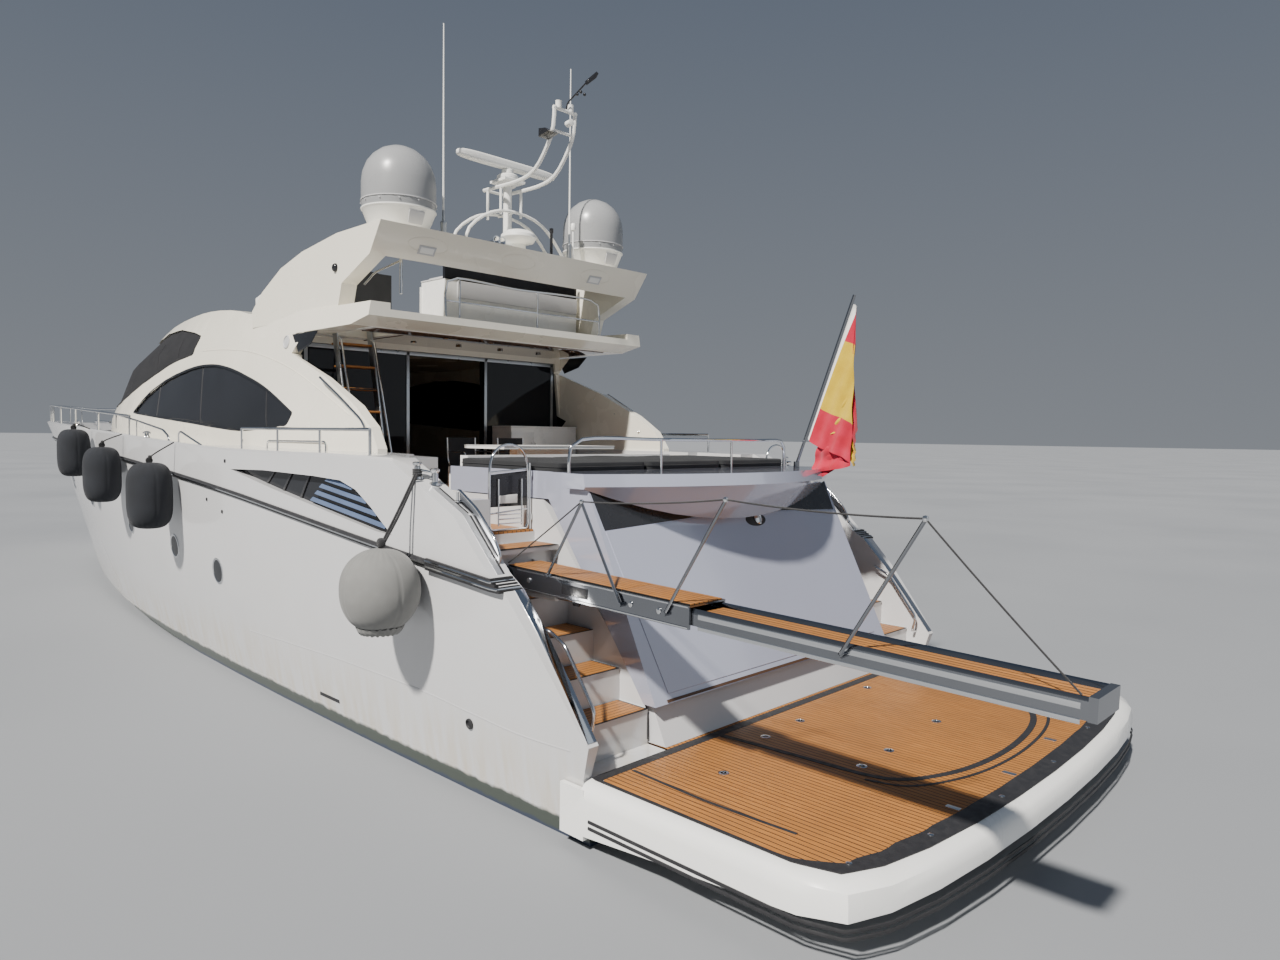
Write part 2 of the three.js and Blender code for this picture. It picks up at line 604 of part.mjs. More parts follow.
function cockpitTable() {
  return join(
    box(-6750, -5950, -1150, 650, 2845, 2880),
    box(-6430, -6270, -700, 200, 2170, 2850),
    box(-6600, -6100, -800, 300, SOLE_Z + GAP, 2175),
  );
}

function cockpitSettee() {
  return join(
    box(-7245, -6900, -1700, 1500, SOLE_Z + GAP, 2580),
    box(-7245, -7110, -1700, 1500, 2500, 2790),
  );
}

function cockpitChair(y) {
  const seat = box(-5800, -5350, y - 230, y + 230, 2580, 2620);
  const back = box(-5390, -5350, y - 230, y + 230, 2600, 2980);
  const side = (sideY) => box(-5790, -5360, sideY - 15, sideY + 15, SOLE_Z + GAP, 2600);
  const open = box(-5740, -5410, y - 300, y + 300, SOLE_Z + 40, 2550);
  return join(seat, back, cut(join(side(y - 215), side(y + 215)), open));
}

const GATE = { x: -8700, hingeY: 1822, farY: 2290 };

function gatePort() {
  const { x, hingeY, farY } = GATE;
  const leaf = prismYZ([[hingeY, 2190], [farY, 2190], [farY, 2740], [farY - 40, 2850],
    [farY - 130, 2930], [farY - 230, 2950], [hingeY + 130, 2930], [hingeY + 40, 2850],
    [hingeY, 2740]], x - 14, x + 14);
  return join(leaf, rod([x, hingeY, SOLE_Z + GAP], [x, hingeY, 2760], 18, 10));
}

function quarterWindow(hullSolid) {
  const sheet = prismXZ(QUARTER_WINDOW, 2790 + GAP, 2806);
  return cut(sheet, lift(hullSolid, 0, 0, GAP), lift(hullSolid, 0, 0, -GAP));
}

// Rails, fenders and deck gear

function sideRail() {
  const posts = [-4030, -5060, -6110, -7170].map(
    (x) => rod([x, 2590, 2700], [x, 2590, 3050], 16));
  const top = rod([-4030, 2590, 3050], [-7170, 2590, 3050], 18);
  return join(top, ...posts);
}

function bowRail() {
  const stations = places(2.9, 7.75, 10).map((place) => {
    const row = rowAt(HULL, place);
    return { x: row[5], y: row[6] - 70, z: row[7], top: row[7] + 230 + 26 * place };
  });
  const tip = stations.at(-1);
  const port = stations.map(({ x, y, top }) => [x, y, top]);
  const starboard = port.map(([x, y, z]) => [x, -y, z]).reverse();
  const rail = tube([...port, [tip.x + 330, 0, tip.top + 10], ...starboard], 18, 40);
  const posts = stations.slice(0, -1).flatMap(({ x, y, z, top }) => [
    rod([x, y, z - 20], [x, y, top], 15), rod([x, -y, z - 20], [x, -y, top], 15)]);
  return join(rail, ...posts);
}

function hullSideAt(x, z) {
  const row = rowAt(HULL, placeOf(HULL, 5, x));
  return topside(row, (z - row[4]) / (row[7] - row[4]))[1];
}

// x, z of the middle, radius and height of each hanging fender
const FENDERS = [
  [1520, 2625, 240, 780],
  [-310, 2345, 255, 830],
  [-2600, 2165, 275, 870],
];
const BALL_FENDER = { x: -8400, z: 1700, radius: 335 };
const RAIL_PROUD = 38;

function fender([x, z, radius, height]) {
  const row = rowAt(HULL, placeOf(HULL, 5, x));
  const y = hullSideAt(x, row[8]) + RAIL_PROUD + radius + 1;
  const [low, high] = [z - height / 2, z + height / 2];
  const body = turned([[0, low], [radius * 0.6, low + 10], [radius * 0.92, low + 70],
    [radius, low + 150], [radius, high - 150], [radius * 0.92, high - 70],
    [radius * 0.6, high - 10], [0, high]], x, y, 16);
  return join(body, rod([x, y, high - 20], [x, row[6] + 14, row[7] + 20], 9, 6));
}

function ballFender() {
  const { x, z, radius } = BALL_FENDER;
  const y = hullSideAt(x, z) + radius + 1;
  const profile = places(-Math.PI / 2, Math.PI / 2, 10).map(
    (angle) => [radius * Math.max(Math.cos(angle), 0), z + 1.08 * radius * Math.sin(angle)]);
  profile[0][0] = 0;
  profile.at(-1)[0] = 0;
  return join(turned(profile, x, y, 20),
    rod([x, y, z + radius], [x, hullSideAt(x, 2700) + 14, 2725], 10, 6));
}

function anchor() {
  const shank = rod([11500, 0, 3205], [12850, 0, 3240], 30, 8);
  const fluke = loft([
    [[12500, 0, 3230], [12800, 200, 3120], [12800, -200, 3120]],
    [[12600, 0, 3205], [12760, 40, 2900], [12760, -40, 2900]],
  ].map((ring) => ring.map(([x, y, z]) => [x, y, z])), 2);
  return join(shank, fluke);
}

// Roof gear

const SCANNER = { x: -5800, y: -100, z: 6370 };

function mast() {
  const { x, y, z } = SCANNER;
  const foot = ARCH_TOP_Z + GAP;
  const frameZ = 6175;
  const topZ = 6910;
  const twin = (tubeY) => join(
    tube([[-5540, tubeY, frameZ], [-6380, tubeY, frameZ], [-6600, tubeY, 6250],
      [-6860, tubeY, 6540], [-6920, tubeY, 6680], [-6940, tubeY, topZ]], 24, 16),
    rod([-5620, tubeY, 5790], [-5620, tubeY, frameZ], 18), rod([-5900, tubeY, 5820], [-5900, tubeY, frameZ], 18));
  const hoop = (hoopX) => tube([[hoopX, 640, foot], [hoopX, 560, 5560], [hoopX, 120, 5850],
    [hoopX, -560, 5800], [hoopX, -1080, foot]], 20, 16);
  return join(
    box(-6150, -5680, -240, 240, foot, foot + 40),
    rod([x, y, foot], [x, y, z - 90], 55, 12),
    box(x - 160, x + 160, y - 160, y + 160, z - 120, z - 90),
    turned([[0, z - 100], [130, z - 100], [130, z - 20], [60, z], [0, z]], x, y, 16),
    twin(80), twin(-240),
    rod([-6940, -260, topZ - 20], [-6940, 100, topZ - 20], 22),
    rod([-6900, -240, 6640], [-6900, 80, 6640], 18),
    rod([-5560, -240, frameZ], [-5560, 80, frameZ], 18),
    hoop(-5900), hoop(-5620), rod([-5900, y, 5860], [-5620, y, 5860], 16),
  );
}

function radarScanner() {
  const { x, y, z } = SCANNER;
  return join(
    turned([[0, z + GAP], [70, z + GAP], [70, z + 70], [0, z + 70]], x, y, 16),
    box(x - 65, x + 65, y - 770, y + 770, z + 60, z + 170),
  );
}

function satelliteDome(y) {
  const foot = ARCH_TOP_Z + GAP;
  const cap = places(0, Math.PI / 2, 6).map(
    (angle) => [420 * Math.cos(angle), 5880 + 430 * Math.sin(angle)]);
  cap.at(-1)[0] = 0;
  return turned([[0, foot], [300, foot], [330, foot + 60], [405, 5560], [420, 5640], ...cap],
    -5890, y, 24);
}

function aerial(x, y, top) {
  const foot = ARCH_TOP_Z + GAP;
  return join(rod([x, y, foot], [x, y, foot + 220], 28, 8), rod([x, y, foot + 200], [x, y, top], 14, 6, 7));
}

// The rail across the aft edge stops short of the ladder hatch.
const RAIL_TOP = 4850;
const RAIL_PORT = 1040;
const RAIL_STARBOARD = -1420;

function flyRail() {
  const top = tube([[-6130, RAIL_PORT, 4360], [-6130, RAIL_PORT, RAIL_TOP - 70],
    [-6130, RAIL_PORT - 70, RAIL_TOP], [-6130, 0, RAIL_TOP], [-6130, RAIL_STARBOARD + 70, RAIL_TOP],
    [-6130, RAIL_STARBOARD, RAIL_TOP - 70], [-6130, RAIL_STARBOARD, 4360]], 14, 22);
  const middle = rod([-6130, RAIL_STARBOARD, 4590], [-6130, RAIL_PORT, 4590], 10);
  const posts = [850, -340].map((y) => rod([-6130, y, 4360], [-6130, y, RAIL_TOP], 11));
  return join(top, middle, ...posts);
}

function flyBar() {
  const cabinet = box(-5250, -4700, -1650, 810, FLY_SOLE_Z + GAP, 4830);
  const grill = box(-5280, -4750, 500, 810, 4800, 5080);
  const screen = box(-5250, -5210, -1650, 480, 4800, 5240);
  return join(cabinet, grill, screen);
}

function flyHelm() {
  const outline = [[-1300, FLY_SOLE_Z + GAP], [-1960, FLY_SOLE_Z + GAP], [-1960, 4900],
    [-1760, 5160], [-1300, 5060]];
  return prismXZ(outline, 200, 1300);
}

function flySeat() {
  return join(box(-3300, -2750, 150, 1300, FLY_SOLE_Z + GAP, 4850),
    box(-3340, -3220, 150, 1300, 4800, 5330));
}

// Running gear

function shaftLine(hullSolid) {
  const { y, inX, inZ, outX, outZ } = SHAFT;
  const line = rod([inX + 400, y, inZ + 85], [outX, y, outZ], 38, 12);
  const strut = prismXZ([[-8480, -300], [-8700, -300], [-8800, -1010], [-8560, -960]], y - 16, y + 16);
  const barrel = rod([-8560, y, -978], [-8820, y, -1033], 62, 12);
  return cut(join(line, strut, barrel), lift(hullSolid, 0, 0, -GAP));
}

function propeller() {
  const hub = new THREE.CylinderGeometry(60, 78, 190, 14).rotateZ(Math.PI / 2);
  const parts = [toSolid(hub)];
  for (let blade = 0; blade < 5; blade++) {
    const outline = [[-30, 40], [-95, 150], [-120, 280], [-60, 395], [20, SHAFT.blade],
      [95, 350], [120, 220], [60, 60], [30, 40]];
    const geometry = extrude(outline, 14).translate(0, 0, -7);
    geometry.rotateY(Math.PI / 3.4).rotateX(blade * 2 * Math.PI / 5);
    parts.push(toSolid(geometry));
  }
  const tilt = -THREE.MathUtils.radToDeg(SHAFT_TILT);
  const reach = 95.5;
  return lift(join(...parts).rotate([0, tilt, 0]), SHAFT.outX - reach * Math.cos(SHAFT_TILT),
    SHAFT.y, SHAFT.outZ - reach * Math.sin(SHAFT_TILT));
}

function rudder() {
  const blade = loft([[-560, 1], [-1350, 0.8]].map(([z, scale]) => [
    [RUDDER_X + 170 * scale, SHAFT.y, z], [RUDDER_X + 40 * scale, SHAFT.y + 28, z],
    [RUDDER_X - 230 * scale, SHAFT.y + 5, z], [RUDDER_X - 230 * scale, SHAFT.y - 5, z],
    [RUDDER_X + 40 * scale, SHAFT.y - 28, z]]), 2);
  const stock = rod([RUDDER_X, SHAFT.y, RUDDER_TOP - GAP], [RUDDER_X, SHAFT.y, -700], 26, 12);
  return join(blade, stock);
}

function saloonSofa() {
  return join(box(-3700, -1300, 1200, 1900, SOLE_Z - 20 + GAP, 2560),
    box(-3700, -1300, 1700, 1900, 2500, 2950));
}

function sunpad() {
  return prismXY([[-9030, -1700], [-8960, -1765], [-7540, -1765], [-7470, -1700], [-7470, 1700],
    [-7540, 1765], [-8960, 1765], [-9030, 1700]], 2660 + GAP, 2800);
}

// The rail on the door, wider to port than to starboard, where the ensign staff stands.
function sunpadRail(doorSolid) {
  const top = tube([[-9250, 1825, 2640], [-9252, 1825, 2860], [-9262, 1800, 2945],
    [-9285, 1700, 2985], [-9350, 740, 2990], [-9370, 0, 2990], [-9350, -740, 2990],
    [-9285, -1320, 2985], [-9262, -1410, 2945], [-9252, -1430, 2860], [-9250, -1430, 2640]], 16, 28);
  const posts = [750, -330].map((y) => rod([-9355, y, 2640], [-9355, y, 2990], 13));
  return cut(join(top, ...posts), lift(doorSolid, 0, 0, GAP));
}

const STAFF = { from: [-9480, -1350, 2695], to: [-10160, -1350, 4540], radius: 18 };

function ensignStaff() {
  const socket = rod([-9480, -1350, 2690 + GAP], [-9480, -1350, 2760], 34, 10);
  return join(socket, rod([-9470, -1350, 2700], STAFF.to, STAFF.radius, 8));
}

function ensign() {
  const edge = STAFF.from[1] - STAFF.radius - 10;
  return prismXZ([[-10120, 4430], [-10190, 4200], [-10150, 3600], [-10000, 3150], [-9860, 2780],
    [-9640, 2800], [-9640, 3050], [-9800, 3400], [-9960, 3950]], edge - 60, edge);
}

function foredeckPad(hullSolid) {
  const pad = prismXY([[7150, -900], [7250, -1000], [8700, -850], [8850, -740], [8850, 740],
    [8700, 850], [7250, 1000], [7150, 900]], 2800, 3010);
  return cut(pad, lift(hullSolid, 0, 0, GAP));
}

const group = new THREE.Group();

function add(name, solid, [color, roughness, metalness = 0]) {
  const material = new THREE.MeshStandardMaterial({ color, roughness, metalness });
  const mesh = new THREE.Mesh(toGeometry(solid), material);
  mesh.name = name;
  group.add(mesh);
  return solid;
}

function addPair(name, portSolid, finish) {
  add(`${name}_port`, portSolid, finish);
  add(`${name}_starboard`, mirrored(portSolid), finish);
  return portSolid;
}

// colour, roughness, metalness
const GELCOAT = ['#dcdcda', 0.25];
const CREAM = ['#eee9da', 0.3];
const LAVENDER = ['#c9cad2', 0.2];
const DARK_GLASS = ['#15181c', 0.08];
const BLACK = ['#161616', 0.6];
const STEEL = ['#c8ccd0', 0.2, 1];
const TEAK = ['#b8763c', 0.6];
const WHITE = ['#e8e8e6', 0.4];
const BRONZE = ['#a98a55', 0.35, 1];
const FABRIC = ['#4a4d50', 0.9];
const RED = ['#b3202c', 0.9];

const hullSolid = hull();
add('hull', hullSolid.intersect(box(HULL_JOINT_X + GAP / 2, 14000, -4000, 4000, -2000, 5000)), GELCOAT);
add('hull_stern', hullSolid.intersect(box(-12000, HULL_JOINT_X - GAP / 2, -4000, 4000, -2000, 5000)), GELCOAT);
const houseSolid = add('deckhouse', deckhouse(hullSolid), CREAM);
const flySolid = add('flybridge', flybridge(), CREAM);
const archSolid = add('radar_arch', radarArch(flySolid), CREAM);
addPair('saloon_window', pane(SALOON_WINDOW, 0, 3000), DARK_GLASS);
add('wheelhouse_glass', pane(WHEELHOUSE_WINDOW, -3000, 3000), BLACK);
addPair('quarter_window', quarterWindow(hullSolid), DARK_GLASS);
const railSolid = addPair('rub_rail', cut(rubRail(), lift(hullSolid, 0, GAP, 0)), BLACK);
addPair('side_rail', cut(sideRail(), lift(hullSolid, 0, 0, GAP)), STEEL);
add('bow_rail', cut(bowRail(), lift(hullSolid, 0, 0, GAP)), STEEL);
add('anchor', cut(anchor(), lift(hullSolid, 0, 0, GAP)), STEEL);
add('foredeck_pad', foredeckPad(hullSolid), FABRIC);
add('cockpit_sole', cockpitSole(), TEAK);
add('aft_bulkhead', aftBulkhead(), DARK_GLASS);
add('saloon_door', saloonDoor(), DARK_GLASS);
add('saloon_sofa', saloonSofa(), FABRIC);
add('fly_ladder', flyLadder(), TEAK);
add('cockpit_cabinet', cockpitCabinet(), WHITE);
add('cockpit_table', cockpitTable(), WHITE);
add('cockpit_settee', cockpitSettee(), WHITE);
add('cockpit_chair_port', cockpitChair(300), FABRIC);
add('cockpit_chair_starboard', cockpitChair(-500), FABRIC);
add('fly_bar', flyBar(), WHITE);
add('fly_helm', flyHelm(), WHITE);
add('fly_seat', flySeat(), FABRIC);
add('fly_rail', cut(flyRail(), lift(flySolid, 0, 0, GAP)), STEEL);
add('mast', cut(mast(), lift(archSolid, 0, 0, GAP)), WHITE);
add('radar_scanner', radarScanner(), WHITE);
addPair('satellite_dome', satelliteDome(1520), WHITE);
add('aerial_port', aerial(-5900, 930, 7890), WHITE);
add('aerial_starboard', aerial(-6100, -900, 7860), WHITE);
const doorSolid = add('garage_door', garageDoor(), LAVENDER);
add('sunpad', sunpad(), FABRIC);
add('sunpad_rail', sunpadRail(doorSolid), STEEL);
const staffSolid = add('ensign_staff', ensignStaff(), STEEL);
add('ensign', seated(ensign(), staffSolid, [0, 1, 0]), RED);
add('bathing_platform', bathingPlatform(), TEAK);
add('platform_arms', platformArms(), STEEL);
add('passerelle', passerelle(), STEEL);
add('passerelle_tip', passerelleTip(), STEEL);
add('ram_barrel', ramBarrel(), WHITE);
add('ram_rod', ramRod(), STEEL);
addPair('gate', gatePort(), STEEL);
addPair('shaft', shaftLine(hullSolid), BRONZE);
addPair('propeller', propeller(), BRONZE);
addPair('rudder', rudder(), BRONZE);
const side = join(hullSolid, railSolid);
FENDERS.forEach((row, i) => add(`fender_${i + 1}`, seated(fender(row), side, [0, -1, 0]), BLACK));
add('ball_fender', seated(ballFender(), side, [0, -1, 0]), WHITE);

export default group;
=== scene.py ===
# %% [markdown]
# # Dressing a flybridge motor yacht
#
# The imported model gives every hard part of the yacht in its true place: hull, deckhouse,
# gangway, platform and so on, each riding on the body that moves it. This lesson adds what
# a yard adds last: paint, teak, glass, rails, cushions, fenders and the flag. Everything is
# in metres, +X runs to the bow, +Y to port, +Z up, and z = 0 is the waterline.

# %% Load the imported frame
import math

import bpy
import numpy as np
from mathutils import Matrix, Vector
from mathutils.bvhtree import BVHTree


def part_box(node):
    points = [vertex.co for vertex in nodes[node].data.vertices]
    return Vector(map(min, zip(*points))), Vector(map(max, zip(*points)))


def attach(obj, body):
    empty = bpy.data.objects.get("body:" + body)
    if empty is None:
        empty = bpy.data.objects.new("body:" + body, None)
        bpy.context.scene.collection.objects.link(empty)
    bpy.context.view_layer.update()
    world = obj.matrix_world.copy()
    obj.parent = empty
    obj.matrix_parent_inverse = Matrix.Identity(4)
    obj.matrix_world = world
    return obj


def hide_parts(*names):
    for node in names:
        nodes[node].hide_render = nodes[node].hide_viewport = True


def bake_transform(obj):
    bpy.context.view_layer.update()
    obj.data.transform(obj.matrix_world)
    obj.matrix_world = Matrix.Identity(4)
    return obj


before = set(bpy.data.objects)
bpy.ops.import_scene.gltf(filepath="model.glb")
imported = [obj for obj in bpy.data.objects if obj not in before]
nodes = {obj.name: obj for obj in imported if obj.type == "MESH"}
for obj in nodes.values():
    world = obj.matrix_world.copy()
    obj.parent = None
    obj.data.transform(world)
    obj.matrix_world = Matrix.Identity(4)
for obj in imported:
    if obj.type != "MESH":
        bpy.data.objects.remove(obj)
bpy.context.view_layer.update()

# %% [markdown]
# ## The camera
#
# The boat is seen from her port quarter, a little above the deck, through a wide lens. The
# place and the three angles were solved from straight lines of the hull and platform. A
# camera in Blender looks along its own -Z, so its axes are built from the view's forward,
# right and up directions.

# %% Place the camera
CAMERA_PLACE = np.array([-15.00, 6.86, 3.02])
YAW, PITCH, ROLL = (math.radians(angle) for angle in (45.89, -2.89, 0.77))
FOCAL_MM, SENSOR_MM, FARTHEST = 24.44, 36.0, 2000

forward = np.array([math.cos(PITCH) * math.cos(YAW), -math.cos(PITCH) * math.sin(YAW), math.sin(PITCH)])
level_right = np.array([-math.sin(YAW), -math.cos(YAW), 0.0])
level_up = np.cross(level_right, forward)
right = math.cos(ROLL) * level_right + math.sin(ROLL) * level_up
up = -math.sin(ROLL) * level_right + math.cos(ROLL) * level_up


def in_scene(name, data):
    """A new object that holds the data, linked to the scene."""
    made = bpy.data.objects.new(name, data)
    bpy.context.scene.collection.objects.link(made)
    return made


camera_data = bpy.data.cameras.new("camera")
camera_data.lens, camera_data.sensor_width, camera_data.clip_end = FOCAL_MM, SENSOR_MM, FARTHEST
camera = in_scene("camera", camera_data)
camera.matrix_world = Matrix([*zip(right, up, -forward, CAMERA_PLACE), (0, 0, 0, 1)])
bpy.context.scene.camera = camera

# %% [markdown]
# ## Arrays into meshes
#
# Every new piece starts as an array of points. A shape here is a pair: its points, and its
# faces as lists of point numbers. Closed shapes are turned outwards by the sign of their
# volume, so no shape has to be drawn in one particular direction.

# %% Shapes as points and faces
def grid_faces(rows, columns, wrap_rows=False, wrap_columns=False):
    """Quads between the points of a grid, numbered row by row. A wrapped way joins last to first."""
    row = np.arange(rows if wrap_rows else rows - 1)
    column = np.arange(columns if wrap_columns else columns - 1)
    a, b = np.meshgrid(row, column, indexing="ij")
    next_a, next_b = (a + 1) % rows, (b + 1) % columns
    corners = [a * columns + b, a * columns + next_b, next_a * columns + next_b, next_a * columns + b]
    return np.stack(corners, -1).reshape(-1, 4).tolist()


def outward(points, faces):
    """Turns the faces round when the sum of their corner tetrahedra, the volume, is negative."""
    volume = 0.0
    for size in {len(face) for face in faces}:
        ring = points[np.array([face for face in faces if len(face) == size])]
        for i in range(1, size - 1):
            volume += np.einsum("ij,ij->", ring[:, 0], np.cross(ring[:, i], ring[:, i + 1]))
    return (points, [face[::-1] for face in faces] if volume < 0 else faces)


def closed_rings(rings):
    """Stacked rings of equal length, joined by quads and shut by one flat face at each end."""
    count, ring_size = rings.shape[:2]
    faces = grid_faces(count, ring_size, wrap_columns=True)
    faces += [list(range(ring_size))[::-1], list(range((count - 1) * ring_size, count * ring_size))]
    return outward(rings.reshape(-1, 3), faces)


def together(*shapes):
    """Several shapes as one: the points one after another, the faces renumbered to match."""
    points, faces, start = [], [], 0
    for shape_points, shape_faces in shapes:
        points.append(shape_points)
        faces += [[index + start for index in face] for face in shape_faces]
        start += len(shape_points)
    return np.concatenate(points), faces


def mirrored(shape):
    """The same shape on the other side of the centreline: y changes sign and the faces turn."""
    points, faces = shape
    return points * np.array([1, -1, 1]), [face[::-1] for face in faces]


def both_sides(*shapes):
    """The shapes and their mirror images, as one."""
    port = together(*shapes)
    return together(port, mirrored(port))


def dressed(name, shape, finish, smooth_angle=40):
    """Makes the shape an object at the origin, smoothed by angle, with the finish as its material."""
    points, faces = shape
    mesh = bpy.data.meshes.new(name)
    mesh.from_pydata(np.asarray(points, float).tolist(), [], faces)
    mesh.shade_smooth()
    mesh.set_sharp_from_angle(angle=math.radians(smooth_angle))
    mesh.materials.append(finish)
    made = in_scene(name, mesh)
    return made


def piece(name, shape, finish, body="hull", smooth_angle=40, replaces=()):
    """A dressed shape that rides on a body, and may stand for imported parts."""
    made = dressed(name, shape, finish, smooth_angle)
    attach(made, body)
    if replaces:
        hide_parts(*replaces)
    return made


# %% [markdown]
# ## Four ways to draw a shape
#
# Rails are circles carried along a path. Domes, fenders and knobs are profiles turned about
# an axis. Boards and panels are outlines with their edges rounded over. Cushions are
# superquadrics: a sphere whose sines and cosines are raised to a small power, which fills
# it out to a soft box.

# %% Paths, tubes, turned shapes, slabs and pillows
TINY = 1e-12
AXIS_HOLE = 0.0004
POLE_GAP = 0.02


def unit(vectors):
    """Each vector divided by its own length."""
    return vectors / np.maximum(np.linalg.norm(vectors, axis=-1, keepdims=True), TINY)


def around(count):
    """Angles in equal steps, once round."""
    return np.linspace(0, 2 * np.pi, count, endpoint=False)


def curve_through(points, count):
    """A smooth path: cubic pieces whose slope at each point is half the step between its neighbours."""
    points = np.asarray(points, float)
    padded = np.concatenate([points[:1], points, points[-1:]])
    slopes = (padded[2:] - padded[:-2]) / 2
    place = np.linspace(0, len(points) - 1, count)
    start = np.minimum(place.astype(int), len(points) - 2)
    t = (place - start)[:, None]
    a, b = points[start], points[start + 1]
    return (a * (2 * t**3 - 3 * t**2 + 1) + slopes[start] * (t**3 - 2 * t**2 + t)
            + b * (3 * t**2 - 2 * t**3) + slopes[start + 1] * (t**3 - t**2))


def bent_path(points, radius=0.06, steps=6):
    """Straight runs with rounded corners: each corner is a parabola between two points on its legs."""
    points = np.asarray(points, float)
    path = [points[:1]]
    share = np.linspace(0, 1, steps)[:, None]
    for before, corner, after in zip(points, points[1:], points[2:]):
        reach = min(radius, np.linalg.norm(before - corner) / 2.1, np.linalg.norm(after - corner) / 2.1)
        a = corner + unit(before - corner) * reach
        b = corner + unit(after - corner) * reach
        path.append((1 - share) ** 2 * a + 2 * share * (1 - share) * corner + share**2 * b)
    return np.concatenate([*path, points[-1:]])


def sweep(path, section, upright=None):
    """Carries a closed flat section of (sideways, upward) pairs along a path, square to it."""
    path, section = np.asarray(path, float), np.asarray(section, float)
    along = unit(np.gradient(path, axis=0))
    if upright is None:
        upright = np.eye(3)[np.abs(along).max(0).argmin()]
    side = unit(np.cross(along, upright))
    over = np.cross(side, along)
    return closed_rings(path[:, None] + side[:, None] * section[:, :1] + over[:, None] * section[:, 1:])


def oval(half_across, half_over, count):
    """Points round an ellipse, as (sideways, upward) pairs: cosines and sines times its half axes."""
    return np.stack([half_across * np.cos(around(count)), half_over * np.sin(around(count))], 1)


def circle(radius, sides=12):
    """A round section, as flat pairs."""
    return oval(radius, radius, sides)


def tube(points, radius, sides=10, corner=0.06):
    """A round bar along straight runs with rounded corners."""
    return sweep(bent_path(points, corner), circle(radius, sides))


def turned(profile, centre, axis=(0, 0, 1), sides=32):
    """Turns (radius, height) pairs round an axis through the centre; the ends close on the axis."""
    profile, axis = np.asarray(profile, float), unit(np.asarray(axis, float))
    side = unit(np.cross(axis, np.eye(3)[np.abs(axis).argmin()]))
    other = np.cross(axis, side)
    spoke = circle(1, sides) @ np.array([side, other])
    radius = np.maximum(profile[:, 0], AXIS_HOLE)
    rings = np.asarray(centre) + radius[:, None, None] * spoke + profile[:, 1][:, None, None] * axis
    return closed_rings(rings)


def inset(outline, distance):
    """Moves each corner of a counter-clockwise outline inwards, square to both its edges."""
    outline = np.asarray(outline, float)
    edge = unit(np.roll(outline, -1, 0) - outline)
    normal = np.stack([-edge[:, 1], edge[:, 0]], 1)
    before = np.roll(normal, 1, 0)
    return outline + (normal + before) * distance / (1.0 + (normal * before).sum(1, keepdims=True))


def anticlockwise(outline):
    """The outline, turned round when its area, the sum of its corners' cross products, is negative."""
    outline = np.asarray(outline, float)
    x, y = outline.T
    return outline if np.sum(x * np.roll(y, -1) - y * np.roll(x, -1)) > 0 else outline[::-1]


AXES = {"xy": (0, 1, 2), "xz": (0, 2, 1), "yz": (1, 2, 0)}


def in_space(pairs, level, plane="xz"):
    """Flat pairs as points in a plane across one axis, all at the same level on that axis."""
    pairs = np.asarray(pairs, float)
    points = np.empty((len(pairs), 3))
    first, second, third = AXES[plane]
    points[:, first], points[:, second], points[:, third] = pairs[:, 0], pairs[:, 1], level
    return points


def slab(outline, low, high, edge=0.006, plane="xy"):
    """An outline in one plane, thick from low to high, its edges rounded over in a quarter circle."""
    outline = anticlockwise(outline)
    turn = np.linspace(0, np.pi / 2, 4)
    steps = [(edge * (1 - math.sin(t)), low + edge * (1 - math.cos(t))) for t in turn]
    steps += [(edge * (1 - math.cos(t)), high - edge * (1 - math.sin(t))) for t in turn]
    rings = [in_space(inset(outline, distance), height, plane) for distance, height in steps]
    return closed_rings(np.array(rings))


def block(x, y, z, edge=0.006):
    """A square-cornered board or box between two numbers on each axis, with rounded edges."""
    return slab([(x[0], y[0]), (x[1], y[0]), (x[1], y[1]), (x[0], y[1])], z[0], z[1], edge)


def bent(value, power):
    """A value raised to a power, with its sign kept."""
    return np.sign(value) * np.abs(value) ** power


def pillow(centre, half, power=0.35, rows=24, columns=48):
    """A superquadric: x, y, z are sines and cosines of two angles raised to a power, scaled by half."""
    lat = np.linspace(-np.pi / 2 + POLE_GAP, np.pi / 2 - POLE_GAP, rows)[:, None]
    lon = around(columns)[None, :]
    level = bent(np.cos(lat), power)
    rings = np.stack(np.broadcast_arrays(level * bent(np.cos(lon), power), level * bent(np.sin(lon), power),
                                         bent(np.sin(lat), power)), -1)
    return closed_rings(np.asarray(centre) + rings * np.asarray(half))


# %% [markdown]
# ## Feeling for the surface
#
# Trim has to sit on curved sides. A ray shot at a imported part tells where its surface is,
# which saves guessing the curve of the topsides again.

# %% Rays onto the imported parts
RAY_START = 6
trees = {}


def touch(node, origin, direction):
    """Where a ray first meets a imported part."""
    if node not in trees:
        mesh = nodes[node].data
        trees[node] = BVHTree.FromPolygons([v.co for v in mesh.vertices], [p.vertices for p in mesh.polygons])
    hit = trees[node].ray_cast(Vector(origin), Vector(direction))[0]
    if hit is None:
        raise ValueError(f"no surface of {node} from {origin} along {direction}")
    return np.array(hit)


def on_side(node, pairs):
    """Points on the port side of a part for (x, z) pairs, by rays from port."""
    return np.array([touch(node, (x, RAY_START, z), (0, -1, 0)) for x, z in pairs])


def top_at(node, x, y):
    """The point on top of a part at (x, y), by a ray from above."""
    return touch(node, (x, y, RAY_START), (0, 0, -1))


print("hull side amidships at y", on_side("hull", [(0, 1.5)])[0][1].round(3))

# %% [markdown]
# ## Finishes
#
# No surface on a boat is one flat colour. Each finish below is a small net of nodes: soft
# noise shifts the colour and the gloss, fine noise gives a bump. Patterns read Object
# coordinates, so they are in metres and stay put on the piece. Numbers that are the same
# all over are set on the shader's own sockets.

# %% A finish and its building blocks
COAT_GLOSS = 0.05


